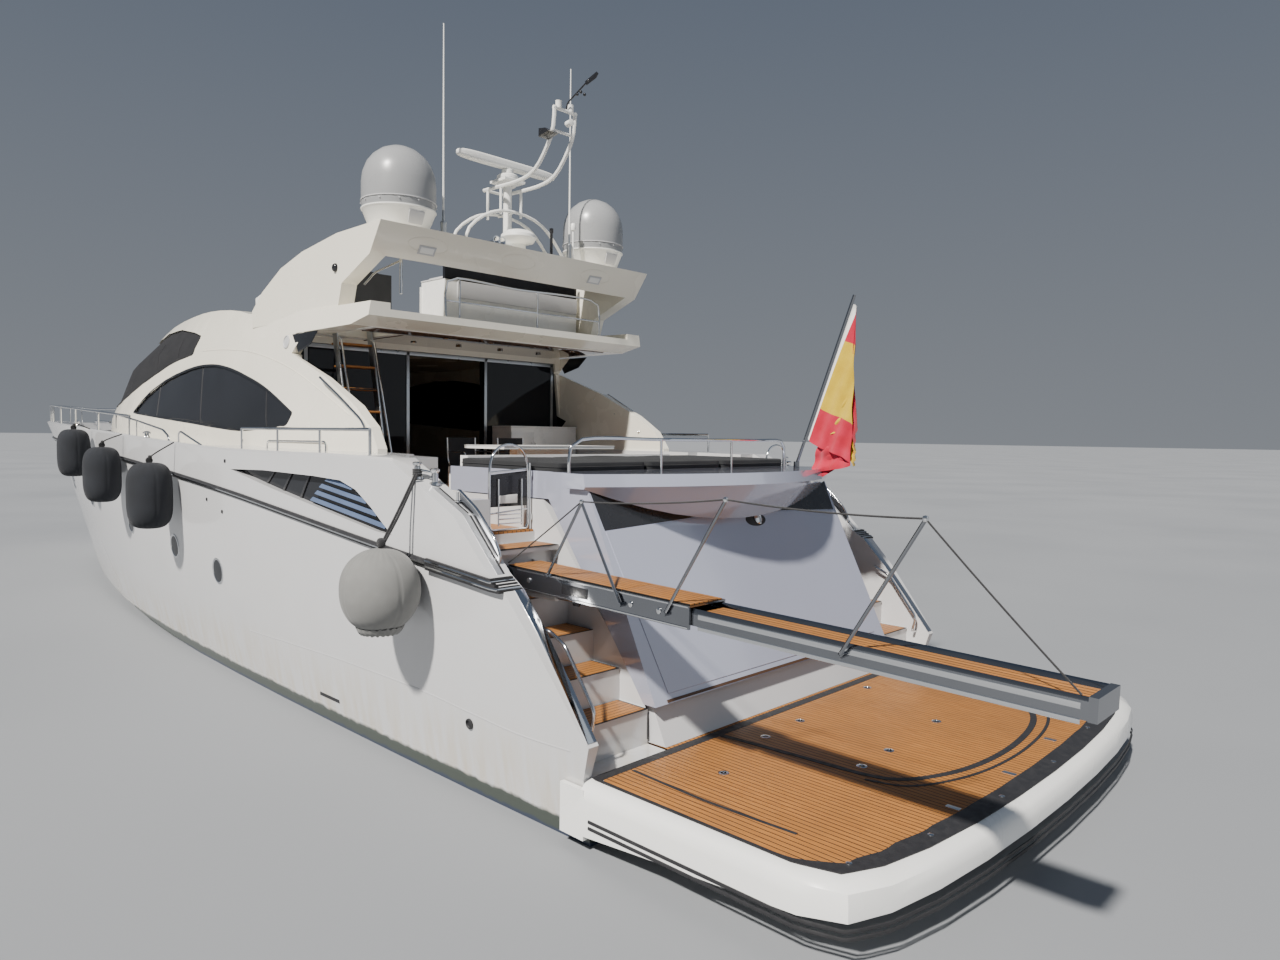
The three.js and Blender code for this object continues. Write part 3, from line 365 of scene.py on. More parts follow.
def finish(name, colour, roughness, metallic=0.0, coat=0.0, sheen=0.0, specular=0.5):
    """A named material with its shader's plain numbers set. Returns the material and its node tree."""
    material = bpy.data.materials.new(name)
    material.use_nodes = True
    material.diffuse_color = (*colour, 1)
    tree = material.node_tree
    for socket, value in (("Base Color", (*colour, 1)), ("Roughness", roughness), ("Metallic", metallic),
                          ("Coat Weight", coat), ("Coat Roughness", COAT_GLOSS), ("Sheen Weight", sheen),
                          ("Specular IOR Level", specular)):
        tree.nodes["Principled BSDF"].inputs[socket].default_value = value
    tree.nodes.new("ShaderNodeTexCoord").name = "place"
    return material, tree


def node(tree, kind, inputs=(), **settings):
    """One node; an input is a plain value or the output socket that it is fed from."""
    made = tree.nodes.new(kind)
    for key, value in settings.items():
        setattr(made, key, value)
    for key, value in dict(inputs).items():
        if isinstance(value, bpy.types.NodeSocket):
            tree.links.new(value, made.inputs[key])
        else:
            made.inputs[key].default_value = value
    return made


def place_of(tree, scale=(1, 1, 1), turn=(0, 0, 0)):
    """Object coordinates, in metres, stretched and turned."""
    return node(tree, "ShaderNodeMapping", {"Vector": tree.nodes["place"].outputs["Object"],
                                            "Scale": scale, "Rotation": turn}).outputs["Vector"]


def noise(tree, scale, detail=3.0, stretch=(1, 1, 1)):
    """Cloudy values from 0 to 1 in Object coordinates, with about this many clouds to a metre."""
    return node(tree, "ShaderNodeTexNoise", {"Vector": place_of(tree, stretch), "Scale": scale,
                                             "Detail": detail}).outputs["Fac"]


def spread(tree, value, low, high, to_low=0.0, to_high=1.0):
    """Straight-line change of a value from one span to another, held at the ends."""
    return node(tree, "ShaderNodeMapRange", {"Value": value, "From Min": low, "From Max": high,
                                             "To Min": to_low, "To Max": to_high}).outputs["Result"]


def mixed(tree, share, first, second, blend="MIX"):
    """A colour between two, by share from 0 to 1."""
    made = node(tree, "ShaderNodeMix", data_type="RGBA", blend_type=blend)
    for socket, value in ((made.inputs["Factor"], share), (made.inputs["A"], first),
                          (made.inputs["B"], second)):
        if isinstance(value, bpy.types.NodeSocket):
            tree.links.new(value, socket)
        else:
            socket.default_value = (*value, 1) if isinstance(value, tuple) else value
    return made.outputs["Result"]


def sums(tree, operation, first, second=0.0):
    """One sum worked out in the shader."""
    return node(tree, "ShaderNodeMath", {0: first, 1: second}, operation=operation).outputs[0]


def feed(tree, socket, value):
    """Links a value to one of the shader's sockets."""
    tree.links.new(value, tree.nodes["Principled BSDF"].inputs[socket])


def roughen(tree, height, strength, distance=0.001):
    """Turns a height into a bump on the shader."""
    bump = node(tree, "ShaderNodeBump", {"Height": height, "Strength": strength, "Distance": distance})
    feed(tree, "Normal", bump.outputs["Normal"])


def shaded(colour, factor):
    """The colour with every channel made lighter or darker by a factor, at most 1."""
    return tuple(min(1.0, channel * factor) for channel in colour)


def mottled(name, colour, roughness, change=0.06, scale=2.5, grain=180.0, bump=0.08, **settings):
    """A moulded or painted finish: broad noise shifts colour and gloss, fine noise roughens it."""
    material, tree = finish(name, colour, roughness, **settings)
    broad = noise(tree, scale)
    feed(tree, "Base Color", mixed(tree, broad, shaded(colour, 1 - change), shaded(colour, 1 + change)))
    feed(tree, "Roughness", spread(tree, broad, 0.3, 0.7, roughness * 0.8, roughness * 1.25))
    roughen(tree, noise(tree, grain, 2.0), bump, 0.0006)
    return material


# %% [markdown]
# ### Gelcoat and paint
#
# The topsides are pale grey gelcoat. A beige band above the waterline is partly a tide mark
# left by harbour water, with thin streaks running down from it, and partly painted
# reflection. Below, a dark boot-top and blue antifouling begin. All of this depends on
# height alone, broken up by noise that is stretched downwards, so it is painted by the Z of
# the Object coordinates.

# %% Mix the hull's finish
HULL_GREY = (0.56, 0.56, 0.565)
hull_gelcoat, tree = finish("hull gelcoat", HULL_GREY, 0.22, coat=0.6)
height = node(tree, "ShaderNodeSeparateXYZ", {"Vector": tree.nodes["place"].outputs["Object"]}).outputs["Z"]
streaks = noise(tree, 3.0, 5.0, (3.0, 3.0, 0.25))
blotches = noise(tree, 1.3, 4.0)
# The beige fades upwards from the waterline. It is partly a tide mark and partly painted reflection.
tide_and_reflection = sums(tree, "MULTIPLY", spread(tree, height, 0.20, 0.85, 1.0, 0.0), spread(tree, streaks, 0.38, 0.68))
clean = mixed(tree, blotches, shaded(HULL_GREY, 0.96), shaded(HULL_GREY, 1.04))
stained_and_reflecting = mixed(tree, sums(tree, "MULTIPLY", tide_and_reflection, 0.75), clean, (0.50, 0.44, 0.33))
wavy_height = sums(tree, "ADD", height, spread(tree, noise(tree, 9.0), 0.3, 0.7, -0.012, 0.012))
slime = mixed(tree, spread(tree, wavy_height, 0.13, 0.16), (0.035, 0.045, 0.035), stained_and_reflecting)
feed(tree, "Base Color", mixed(tree, spread(tree, wavy_height, 0.02, 0.04), (0.016, 0.026, 0.052), slime))
feed(tree, "Roughness", spread(tree, wavy_height, 0.1, 0.2, 0.6, 0.2))
roughen(tree, noise(tree, 60.0), 0.03, 0.0006)

cream_gelcoat = mottled("cream gelcoat", (0.83, 0.79, 0.68), 0.25, 0.03, 1.2, coat=0.5)
white_moulding = mottled("white moulding", (0.80, 0.80, 0.78), 0.28, 0.04, 2.0, coat=0.4)
# Grey moulding. On the transom plinth, the bar's aft panel and the knuckle strip, this grey is painted shade.
grey_moulding_and_shade = mottled("grey moulding and painted shade", (0.50, 0.50, 0.51), 0.35, 0.05, 2.0)
door_paint = mottled("door paint", (0.42, 0.44, 0.54), 0.10, 0.05, 0.9, grain=900.0, bump=0.02,
                     metallic=0.25, coat=1.0)
dome_grey = mottled("dome grey", (0.29, 0.295, 0.30), 0.3, 0.04, 3.0)
white_plastic = mottled("white plastic", (0.80, 0.80, 0.77), 0.4, 0.04, 5.0)

# %% [markdown]
# ### Metal, rubber and glass
#
# Polished stainless mirrors whatever is round it, so its own colour hardly shows, only a
# faint unevenness of gloss. A second, darker steel has painted reflection: its dark colour
# stands for the dark surroundings mirrored by the gangway, the ensign staff and the wing
# panels. The tinted panes are almost black, deep and smooth, with a slow ripple that bends
# the reflections as real panes do.

# %% Mix the metals, rubbers and panes
stainless = mottled("polished stainless", (0.74, 0.75, 0.76), 0.09, 0.03, 6.0, grain=300.0, bump=0.02,
                    metallic=1.0)
# Polished steel coloured dark: painted reflection of dark surroundings.
steel_with_painted_reflection = mottled("polished steel with painted dark reflection", (0.27, 0.28, 0.30), 0.12, 0.05, 4.0, grain=300.0, bump=0.02,
                     metallic=1.0)
brushed_steel = mottled("brushed steel", (0.60, 0.61, 0.63), 0.34, 0.08, 14.0, metallic=0.7)
louvre_paint = mottled("louvre paint", (0.16, 0.22, 0.36), 0.3, 0.05, 3.0, metallic=0.5)
satin_steel = mottled("satin steel", (0.42, 0.44, 0.46), 0.32, 0.06, 9.0, metallic=1.0)
aged_bronze = mottled("aged bronze", (0.40, 0.26, 0.12), 0.42, 0.22, 14.0, bump=0.2, metallic=1.0)
black_rubber = mottled("black rubber", (0.018, 0.018, 0.02), 0.55, 0.3, 20.0, bump=0.2)
# Black paint. On the door's triangles under the shelf, this black is painted shade.
black_paint_and_shade = mottled("black paint and painted shade", (0.012, 0.012, 0.014), 0.25, 0.2, 8.0, coat=0.3)


def pane(name, colour):
    """Tinted glass: near black, mirror smooth, its flatness disturbed by a slow ripple."""
    material, tree = finish(name, colour, 0.04, specular=0.22)
    feed(tree, "Base Color", mixed(tree, noise(tree, 0.8), shaded(colour, 0.6), shaded(colour, 1.5)))
    roughen(tree, noise(tree, 1.5, 1.0), 0.12, 0.01)
    return material


smoked_glass = pane("smoked glass", (0.012, 0.013, 0.016))
brown_gloss = pane("brown lacquer", (0.075, 0.042, 0.026))

# %% [markdown]
# ### Teak
#
# A deck is laid in narrow planks with black caulking between them. A saw-tooth across the
# planks gives each one its number and the seam at its edge. The number picks that plank's
# own tone, and long thin noise along it gives the grain. The seam is also a little lower,
# so it goes into the bump.

# %% Lay the teak
PLANK, SEAM = 0.050, 0.0075
TEAK_PALE, TEAK_DEEP, TEAK_WARM, TEAK_WORN = (
    (0.45, 0.190, 0.045), (0.25, 0.095, 0.022), (0.35, 0.147, 0.035), (0.19, 0.086, 0.030))
CAULKING = (0.012, 0.011, 0.010)


def laid_teak(name, across, tone=1.0, plank=PLANK):
    """Planks whose seams lie at equal steps along one axis, 0 for X or 1 for Y."""
    material, tree = finish(name, (0.45, 0.24, 0.09), 0.5, specular=0.35)
    axes = node(tree, "ShaderNodeSeparateXYZ", {"Vector": tree.nodes["place"].outputs["Object"]}).outputs
    steps = sums(tree, "DIVIDE", axes[across], plank)
    number = sums(tree, "FLOOR", steps)
    edge = sums(tree, "ABSOLUTE", sums(tree, "SUBTRACT", sums(tree, "FRACT", steps), 0.5))
    seam = spread(tree, edge, 0.5 - SEAM / plank / 2 - 0.015, 0.5 - SEAM / plank / 2)
    own = node(tree, "ShaderNodeTexWhiteNoise", {"W": number}, noise_dimensions="1D").outputs["Value"]
    stretch = (1.2, 22.0, 22.0) if across == 1 else (22.0, 1.2, 22.0)
    grain = noise(tree, 6.0, 6.0, stretch)
    pale, deep, warm, worn = (shaded(wood, tone) for wood in (TEAK_PALE, TEAK_DEEP, TEAK_WARM, TEAK_WORN))
    wood = mixed(tree, spread(tree, grain, 0.3, 0.72), pale, deep)
    wood = mixed(tree, spread(tree, own, 0.0, 1.0, 0.0, 0.55), wood, warm)
    wood = mixed(tree, spread(tree, noise(tree, 1.6, 4.0), 0.35, 0.75, 0.0, 0.4), wood, worn)
    feed(tree, "Base Color", mixed(tree, seam, wood, CAULKING))
    feed(tree, "Roughness", spread(tree, grain, 0.2, 0.8, 0.38, 0.62))
    roughen(tree, sums(tree, "SUBTRACT", sums(tree, "MULTIPLY", grain, 0.15), seam), 0.5, 0.002)
    return material


deck_teak = laid_teak("deck teak", across=1)
cross_teak = laid_teak("cross teak", across=0)
margin_teak = laid_teak("margin teak", across=1, tone=0.85, plank=3.0)

# %% [markdown]
# ### Cloth
#
# Woven covers are two sets of threads at right angles. Two sine waves, one along each
# thread, multiply to the small cushions of a weave. Slow noise fades the cloth unevenly, as
# sun and salt do, and sheen catches the light at its edges. The pale fender's sock is a
# brushed fleece, too fine to show threads, so it is a mottled finish with a coarse grain.

# %% Weave the cloth
def woven(name, colour, thread, roughness=0.85, sheen=0.3, strength=0.4):
    """A plain weave with threads this far apart, in metres, on all three axes."""
    material, tree = finish(name, colour, roughness, sheen=sheen, specular=0.25)
    axes = node(tree, "ShaderNodeSeparateXYZ", {"Vector": place_of(tree, turn=(0.5, 0.4, 0.3))}).outputs
    waves = [sums(tree, "SINE", sums(tree, "MULTIPLY", axis, 2 * math.pi / thread)) for axis in axes]
    weave = sums(tree, "MULTIPLY", sums(tree, "ADD", waves[0], waves[2]),
                 sums(tree, "ADD", waves[1], waves[2]))
    fade = spread(tree, noise(tree, 4.0, 5.0), 0.25, 0.75)
    cloth = mixed(tree, fade, shaded(colour, 0.75), shaded(colour, 1.3))
    cloth = mixed(tree, spread(tree, weave, -2.0, 2.0, 0.0, 0.35), cloth, shaded(colour, 0.4))
    feed(tree, "Base Color", cloth)
    feed(tree, "Roughness", spread(tree, fade, 0.0, 1.0, roughness * 0.9, min(1.0, roughness * 1.1)))
    roughen(tree, weave, strength, 0.0008)
    return material


charcoal_cloth = woven("charcoal cloth", (0.026, 0.027, 0.029), 0.006, sheen=0.06)
mesh_cover = woven("mesh cover", (0.012, 0.012, 0.014), 0.008, 0.7, 0.05)
fender_sock = woven("fender sock", (0.022, 0.024, 0.029), 0.007, 0.95, 0.06)
pale_sock = mottled("pale sock", (0.185, 0.185, 0.178), 0.95, 0.14, 9.0, grain=260.0, bump=0.8, sheen=0.15,
                    specular=0.2)
chair_mesh = woven("chair mesh", (0.035, 0.036, 0.04), 0.005, 0.7, 0.1)
sofa_cloth = woven("sofa cloth", (0.42, 0.39, 0.34), 0.006)
rope_cloth = woven("rope", (0.03, 0.03, 0.032), 0.004, 0.9, 0.2, 0.8)
print(len(bpy.data.materials), "materials so far")

# %% [markdown]
# ### Slots
#
# The imported record names a material slot for everything on the boat. A new piece takes
# its finish as its one material.

# %% [markdown]
# ## Painting the imported parts
#
# The imported parts keep their meshes. Their triangles are loose, so a Weld modifier joins
# the corners, and an Edge Split modifier parts them again where two faces meet at a sharp
# angle. What lies between is shaded smooth, so the long panels of the hull flow and the
# real creases stay crisp.

# %% Finish the parts that keep their shape
PART_FINISH = {
    hull_gelcoat: ["hull", "hull_stern"],
    cream_gelcoat: ["deckhouse", "flybridge", "radar_arch"],
    smoked_glass: ["saloon_window_port", "saloon_window_starboard", "quarter_window_port",
                   "quarter_window_starboard", "aft_bulkhead", "saloon_door"],
    mesh_cover: ["wheelhouse_glass"],
    black_rubber: ["rub_rail_port", "rub_rail_starboard"],
    stainless: ["side_rail_port", "side_rail_starboard", "bow_rail", "anchor", "fly_rail", "sunpad_rail",
                "platform_arms", "ram_rod"],
    steel_with_painted_reflection: ["passerelle", "passerelle_tip", "ensign_staff"],
    deck_teak: ["cockpit_sole"],
    cross_teak: ["fly_ladder"],
    white_moulding: ["cockpit_cabinet", "cockpit_table", "fly_bar", "fly_helm", "bathing_platform",
                     "cockpit_settee", "ram_barrel"],
    white_plastic: ["mast", "radar_scanner", "aerial_port", "aerial_starboard"],
    dome_grey: ["satellite_dome_port", "satellite_dome_starboard"],
    door_paint: ["garage_door"],
    aged_bronze: ["shaft_port", "shaft_starboard", "propeller_port", "propeller_starboard", "rudder_port",
                  "rudder_starboard"],
    charcoal_cloth: ["foredeck_pad", "sunpad", "fly_seat", "saloon_sofa", "cockpit_chair_port",
                     "cockpit_chair_starboard", "gate_port", "gate_starboard"],
    fender_sock: ["fender_1", "fender_2", "fender_3"],
    pale_sock: ["ball_fender", "ensign"],
}
SPLIT_ANGLE = {"hull": 24, "hull_stern": 24, "deckhouse": 22, "bow_rail": 50, "sunpad_rail": 50}

for material, names in PART_FINISH.items():
    for name in names:
        part = nodes[name]
        for material_slot in part.material_slots:
            material_slot.material = material
        part.data.shade_smooth()
        weld = part.modifiers.new("weld", "WELD")
        weld.merge_threshold = 0.0002
        split = part.modifiers.new("split", "EDGE_SPLIT")
        split.split_angle = math.radians(SPLIT_ANGLE.get(name, 35))
print("unpainted parts", sorted(set(nodes) - {name for names in PART_FINISH.values() for name in names}))

# %% [markdown]
# ## The bathing platform's deck
#
# The platform's teak is let into a black rubber margin, wide at the aft edge where tenders
# come alongside and thin at the sides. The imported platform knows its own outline: the
# corners of its top face, sorted by their angle about the middle. Moving that outline
# inwards gives the margin and then the field of planks.

# %% Lay the platform's margin and planks
PLATFORM_TOP = 0.52
SHEET = 0.006


def level_outline(name, height):
    """The corners of a part at one height, in order round their middle."""
    corners = np.array([v.co[:] for v in nodes[name].data.vertices])
    level = np.unique(corners[np.abs(corners[:, 2] - height) < 0.001][:, :2].round(4), axis=0)
    middle = (level.min(0) + level.max(0)) / 2
    return level[np.argsort(np.arctan2(*(level - middle).T[::-1]))]


def evenly(outline, count):
    """A closed outline resampled to points an equal length apart."""
    closed = np.concatenate([outline, outline[:1]])
    length = np.concatenate([[0], np.cumsum(np.linalg.norm(np.diff(closed, axis=0), axis=1))])
    wanted = np.linspace(0, length[-1], count, endpoint=False)
    return np.stack([np.interp(wanted, length, closed[:, i]) for i in range(closed.shape[1])], 1)


def band(outer, inner, low, high):
    """A flat closed band between two outlines with equally many points."""
    loops = [(outer, low), (outer, high), (inner, high), (inner, low)]
    rings = np.array([np.column_stack([loop, np.full(len(loop), z)]) for loop, z in loops])
    return outward(rings.reshape(-1, 3), grid_faces(4, len(outer), wrap_rows=True, wrap_columns=True))


deck_edge = evenly(level_outline("bathing_platform", PLATFORM_TOP), 240)
aft_edge = deck_edge[:, 0].min()
aftness = np.clip((aft_edge + 0.75 - deck_edge[:, 0]) / 0.65, 0, 1)
margin_width = 0.03 + 0.13 * aftness**2 * (3 - 2 * aftness)
middle_x = -11.6
pull = unit(np.array([middle_x, 0.0]) - deck_edge)
along_edge = unit(np.roll(deck_edge, -1, 0) - np.roll(deck_edge, 1, 0))
squareness = np.abs((pull * along_edge[:, ::-1] * (1, -1)).sum(1, keepdims=True))
planks_edge = deck_edge + pull * margin_width[:, None] / squareness
hinge_x = deck_edge[:, 0].max() - 0.09
planks_edge[:, 0] = np.minimum(planks_edge[:, 0], hinge_x)
piece("platform_margin", band(deck_edge, planks_edge, PLATFORM_TOP - 0.01, PLATFORM_TOP + SHEET + 0.001),
      black_rubber, "platform")
piece("platform_planks", slab(planks_edge[::2], PLATFORM_TOP - 0.01, PLATFORM_TOP + SHEET, 0.001), deck_teak,
      "platform")
print("platform margin", round(margin_width.min(), 3), "to", round(margin_width.max(), 3), "m wide")

# %% [markdown]
# ### Hatch band and deck fittings
#
# A band of rubber outlines the large hatch over the lift: two long sides and a bowed aft
# end. Lifting rings, filler caps and cleats are let into the planks. Each ring is a plate
# turned round an upright axis with a well in the middle.

# %% Set the hatch band and the flush fittings
HATCH_BAND = [(-10.53, 1.22), (-11.2, 1.16), (-11.75, 1.12), (-12.02, 1.02), (-12.20, 0.72), (-12.31, 0.3),
              (-12.34, -0.25), (-12.28, -0.85), (-12.14, -1.30), (-11.90, -1.58), (-11.5, -1.66),
              (-10.53, -1.68)]
flat_band = [(-0.028, 0), (0.028, 0), (0.026, 0.004), (-0.026, 0.004)]
top_z = PLATFORM_TOP + SHEET - 0.0005
hatch_path = curve_through([(x, y, top_z) for x, y in HATCH_BAND], 90)
outer_path = curve_through([(x - 0.10, y * 1.07, top_z) for x, y in HATCH_BAND[2:-2]], 60)
side_seams = [curve_through([(-10.55, side * 2.30, top_z), (-11.3, side * 2.33, top_z),
                             (-12.0, side * 2.30, top_z)], 20) for side in (1, -1)]
thin_band = [(across * 0.5, height) for across, height in flat_band]
thin_lines = [sweep(seam, thin_band, (0, 0, 1)) for seam in (outer_path, *side_seams)]
piece("platform_hatch_band", together(sweep(hatch_path, flat_band, (0, 0, 1)), *thin_lines),
      black_rubber, "platform")

RING_PLATE = [(0, -0.004), (0.042, -0.004), (0.042, 0.002), (0.039, 0.004), (0.026, 0.004), (0.024, 0.0005),
              (0.008, 0.0005), (0.007, 0.005), (0, 0.005)]
FITTINGS = [(-10.80, 0.98), (-10.77, 0.42), (-10.66, -0.94), (-10.63, -1.50), (-11.70, 0.98), (-11.68, 0.52),
            (-11.55, -1.40), (-11.62, -0.45), (-11.05, 1.85), (-11.05, -2.1)]
STUDS = [(-12.43, 2.40), (-12.60, 1.70), (-12.68, 0.77), (-12.70, -0.19), (-12.62, -1.26), (-12.45, -2.35)]
stud = [(0, -0.004), (0.02, -0.004), (0.02, 0.003), (0.016, 0.006), (0, 0.007)]
rings = [turned(RING_PLATE, (x, y, top_z), sides=24) for x, y in FITTINGS]
rings += [turned(stud, (x, y, top_z + 0.002), sides=16) for x, y in STUDS]
plates = [block((x - 0.05, x + 0.05), (y - 0.022, y + 0.022), (top_z - 0.004, top_z + 0.005), 0.003)
          for x, y in [(-12.55, 0.30), (-12.52, 1.20), (-12.50, -0.70), (-12.42, -1.70)]]
piece("platform_fittings", together(*rings, *plates), stainless, "platform")

rub_edge = evenly(level_outline("bathing_platform", 0.40), 200)
aft_part = rub_edge[rub_edge[:, 0] < hinge_x]
aft_part = aft_part[np.argsort(np.arctan2(aft_part[:, 1], -(aft_part[:, 0] - middle_x)))]
half_round = [(-0.013, 0.0), (-0.011, 0.006), (0.0, 0.009), (0.011, 0.006), (0.013, 0.0)]


def edge_line(z, section):
    """A moulding along the platform's sides and aft edge; each point leans away from the middle."""
    path = np.column_stack([aft_part, np.full(len(aft_part), z)])
    along = unit(np.gradient(path, axis=0))
    out = unit(np.cross(along, (0, 0, 1)))
    out *= np.sign((out[:, :2] * (aft_part - (middle_x, 0))).sum(1, keepdims=True))
    section = np.asarray(section, float)
    return closed_rings(path[:, None] + out[:, None] * (section[:, 1:] - 0.001)
                        + np.array([0, 0, 1.0]) * section[:, :1])


piece("platform_rub_lines", together(edge_line(0.215, half_round), edge_line(0.262, half_round)),
      black_rubber, "platform")

# %% [markdown]
# ## Stern stairs
#
# Both stairs have the same four steps. Each tread is a teak board with a dark rim, let in
# a little from the walls. The stair's own dimensions, nose by nose, give the boards.

# %% Cover the treads and the landings
STAIR_IN, STAIR_OUT = 1.80, 2.61
NOSES = [(-9.23, 1.62), (-9.56, 1.35), (-9.89, 1.08), (-10.22, 0.81)]
REARS = [-9.00, *(nose for nose, level in NOSES[:-1])]
LANDING, LANDING_REAR = (-9.10, 2.04), -8.795
BOARD = 0.012
wood, rims = [], []
for (nose, level), rear in zip([LANDING, *NOSES], [LANDING_REAR, *REARS]):
    rims.append(block((nose - 0.012, rear - 0.004), (STAIR_IN + 0.02, STAIR_OUT - 0.02),
                      (level, level + 0.007), 0.002))
    wood.append(block((nose - 0.002, rear - 0.02), (STAIR_IN + 0.05, STAIR_OUT - 0.05),
                      (level + 0.004, level + BOARD), 0.002))
piece("stair_rims", both_sides(*rims), black_rubber)
piece("stair_treads", both_sides(*wood), cross_teak)

stair_rail = tube([(-9.80, 2.605, 1.50), (-9.83, 2.53, 1.50), (-10.02, 2.53, 1.42), (-10.37, 2.53, 0.97),
                   (-10.33, 2.53, 0.80), (-10.33, 2.60, 0.79)], 0.015)
wing_rail = tube(in_space([(-8.78, 2.44), (-8.78, 2.56), (-9.06, 2.40), (-9.31, 2.17), (-9.38, 2.05),
                           (-9.36, 1.97)], 2.66), 0.013)
collar = turned([(0, 0), (0.03, 0), (0.03, 0.006), (0.018, 0.012), (0, 0.012)], (-8.78, 2.66, 2.445))
piece("stern_handrails", both_sides(stair_rail, wing_rail, collar), stainless)

# %% [markdown]
# ### The wing's crest
#
# A strip of brushed steel runs down the crest of each stern wing, beside a dark joint. A
# polished panel fills the space up to the hand tube, and twin bollards stand on the
# shoulder. Rays shot down at the hull find the crest, so the strips lie on it.

# %% Dress the stern wings
CREST = [-8.52, -8.75, -9.00, -9.15, -9.28, -9.45]


def crest_strip(y, half_width, thickness, steps=24):
    """A flat strip along the top of the wing at this distance from the centreline."""
    path = np.array([top_at("hull_stern", *place) for place in curve_through([(x, y) for x in CREST], steps)])
    section = [(-half_width, -0.006), (half_width, -0.006), (half_width * 0.96, thickness),
               (-half_width * 0.96, thickness)]
    return sweep(path, section, (0, 0, 1))


piece("wing_strips", both_sides(crest_strip(2.715, 0.028, 0.004)), brushed_steel)
piece("wing_joints", both_sides(crest_strip(2.675, 0.010, 0.002)), black_rubber)
panel = slab([(-8.80, 2.535), (-9.06, 2.39), (-9.30, 2.165), (-9.37, 2.05), (-9.35, 1.97), (-9.25, 2.07),
              (-9.03, 2.27), (-8.87, 2.37), (-8.80, 2.41)], 2.646, 2.654, 0.002, "xz")
piece("wing_panels", both_sides(panel), steel_with_painted_reflection)
BOLLARD = [(0, -0.01), (0.05, -0.01), (0.048, 0.01), (0.030, 0.02), (0.028, 0.10), (0.042, 0.115),
           (0.044, 0.13), (0.03, 0.14), (0, 0.142)]
bollard_feet = [top_at("hull_stern", x, y) for x, y in [(-8.34, 2.78), (-8.46, 2.68)]]
bollards = [turned(BOLLARD, foot, sides=28) for foot in bollard_feet]
bollard_bar = tube([(-8.33, 2.80, 2.71), (-8.47, 2.66, 2.67)], 0.012)
piece("stern_bollards", both_sides(*bollards, bollard_bar), stainless)
print("bollards stand at z", np.array(bollard_feet)[:, 2].round(3))

# %% [markdown]
# ## The garage door
#
# The door is one tilted plane below an overhanging shelf. Its glossy panel shows a paler
# frame at the sides, and two black triangles of painted shade lie under the shelf, where its
# underside is in shadow. All of them are flat plates on that plane, so a small function turns
# (y, z) on the door into a point in space.

# %% Panel, triangles, lamp and lip of the garage door
DOOR_HIGH, DOOR_LOW = (-9.52, 2.56), (-10.35, 0.855)
door_run = (DOOR_LOW[0] - DOOR_HIGH[0]) / (DOOR_LOW[1] - DOOR_HIGH[1])
door_normal = unit(np.array([-1.0, 0.0, door_run]))


def on_door(pairs, proud=0.0):
    """Points on the door's plane for (y, z) pairs, raised along its normal."""
    pairs = np.asarray(pairs, float)
    points = np.stack([DOOR_HIGH[0] + (pairs[:, 1] - DOOR_HIGH[1]) * door_run, pairs[:, 0], pairs[:, 1]], 1)
    return points + door_normal * proud


def door_plate(pairs, low, high, edge=0.002):
    """A plate on the door with its front edges taken off, between two heights above the plane."""
    pairs = anticlockwise(pairs)
    rings = [on_door(pairs, low), on_door(pairs, high - edge), on_door(inset(pairs, edge), high)]
    return closed_rings(np.array(rings))


def mirror_pairs(pairs):
    """The same (y, z) pairs to starboard."""
    return [(-y, z) for y, z in pairs]


panel_side = [(1.795, 2.205), (1.665, 0.925)]
panel = [*panel_side, *mirror_pairs(panel_side)[::-1], (-0.56, 2.25), (0, 2.262), (0.56, 2.25)]
piece("door_panel", door_plate(panel, -0.002, 0.006), door_paint, "garage_door")
# Two black triangles of painted shade, where the shelf's underside is in shadow.
shade_triangle = [(1.835, 2.555), (1.80, 2.215), (0.55, 2.262), (0.95, 2.38)]
piece("door_shade_triangles", together(door_plate(shade_triangle, -0.002, 0.004),
                                 door_plate(mirror_pairs(shade_triangle), -0.002, 0.004)),
      black_paint_and_shade, "garage_door")
lip = sweep([(-10.338, 1.70, 0.872), (-10.338, 0, 0.872), (-10.338, -1.70, 0.872)],
            [(-0.014, -0.012), (0.014, -0.012), (0.012, 0.012), (-0.012, 0.014)], door_normal)
piece("door_lip", lip, brown_gloss, "garage_door")

eye = oval(0.165, 0.062, 40) + (-0.30, 2.185)
piece("door_lamp_recess", door_plate(eye, -0.001, 0.009), black_rubber, "garage_door")
lamp_place = on_door([(-0.33, 2.19)], 0.008)[0]
lamp = turned([(0, 0), (0.058, 0), (0.060, 0.012), (0.052, 0.02), (0.046, 0.014), (0.030, 0.020), (0, 0.024)],
              lamp_place, door_normal, 32)
piece("door_lamp", lamp, stainless, "garage_door")
# The plinth is white. Its grey is painted shade under the door.
plinth = slab([(-10.206, 0.525), (-10.206, 0.845), (-10.25, 0.845), (-10.405, 0.53)], -1.785, 1.785, 0.004,
              "xz")
piece("transom_plinth", plinth, grey_moulding_and_shade)
piece("transom_step", block((-10.43, -10.21), (-1.78, 1.78), (0.5215, 0.527), 0.002), deck_teak)

# %% [markdown]
# ### Sun pads
#
# A cushion is a superquadric with its middle crowned, a seam round its waist and a slow
# unevenness pressed into its top by years of use. The welt is a thin cord along the seam.

# %% Shape the cushions
WELT, WELT_STEPS, WAVINESS = 0.005, 72, 9.0
rng = np.random.default_rng(7)


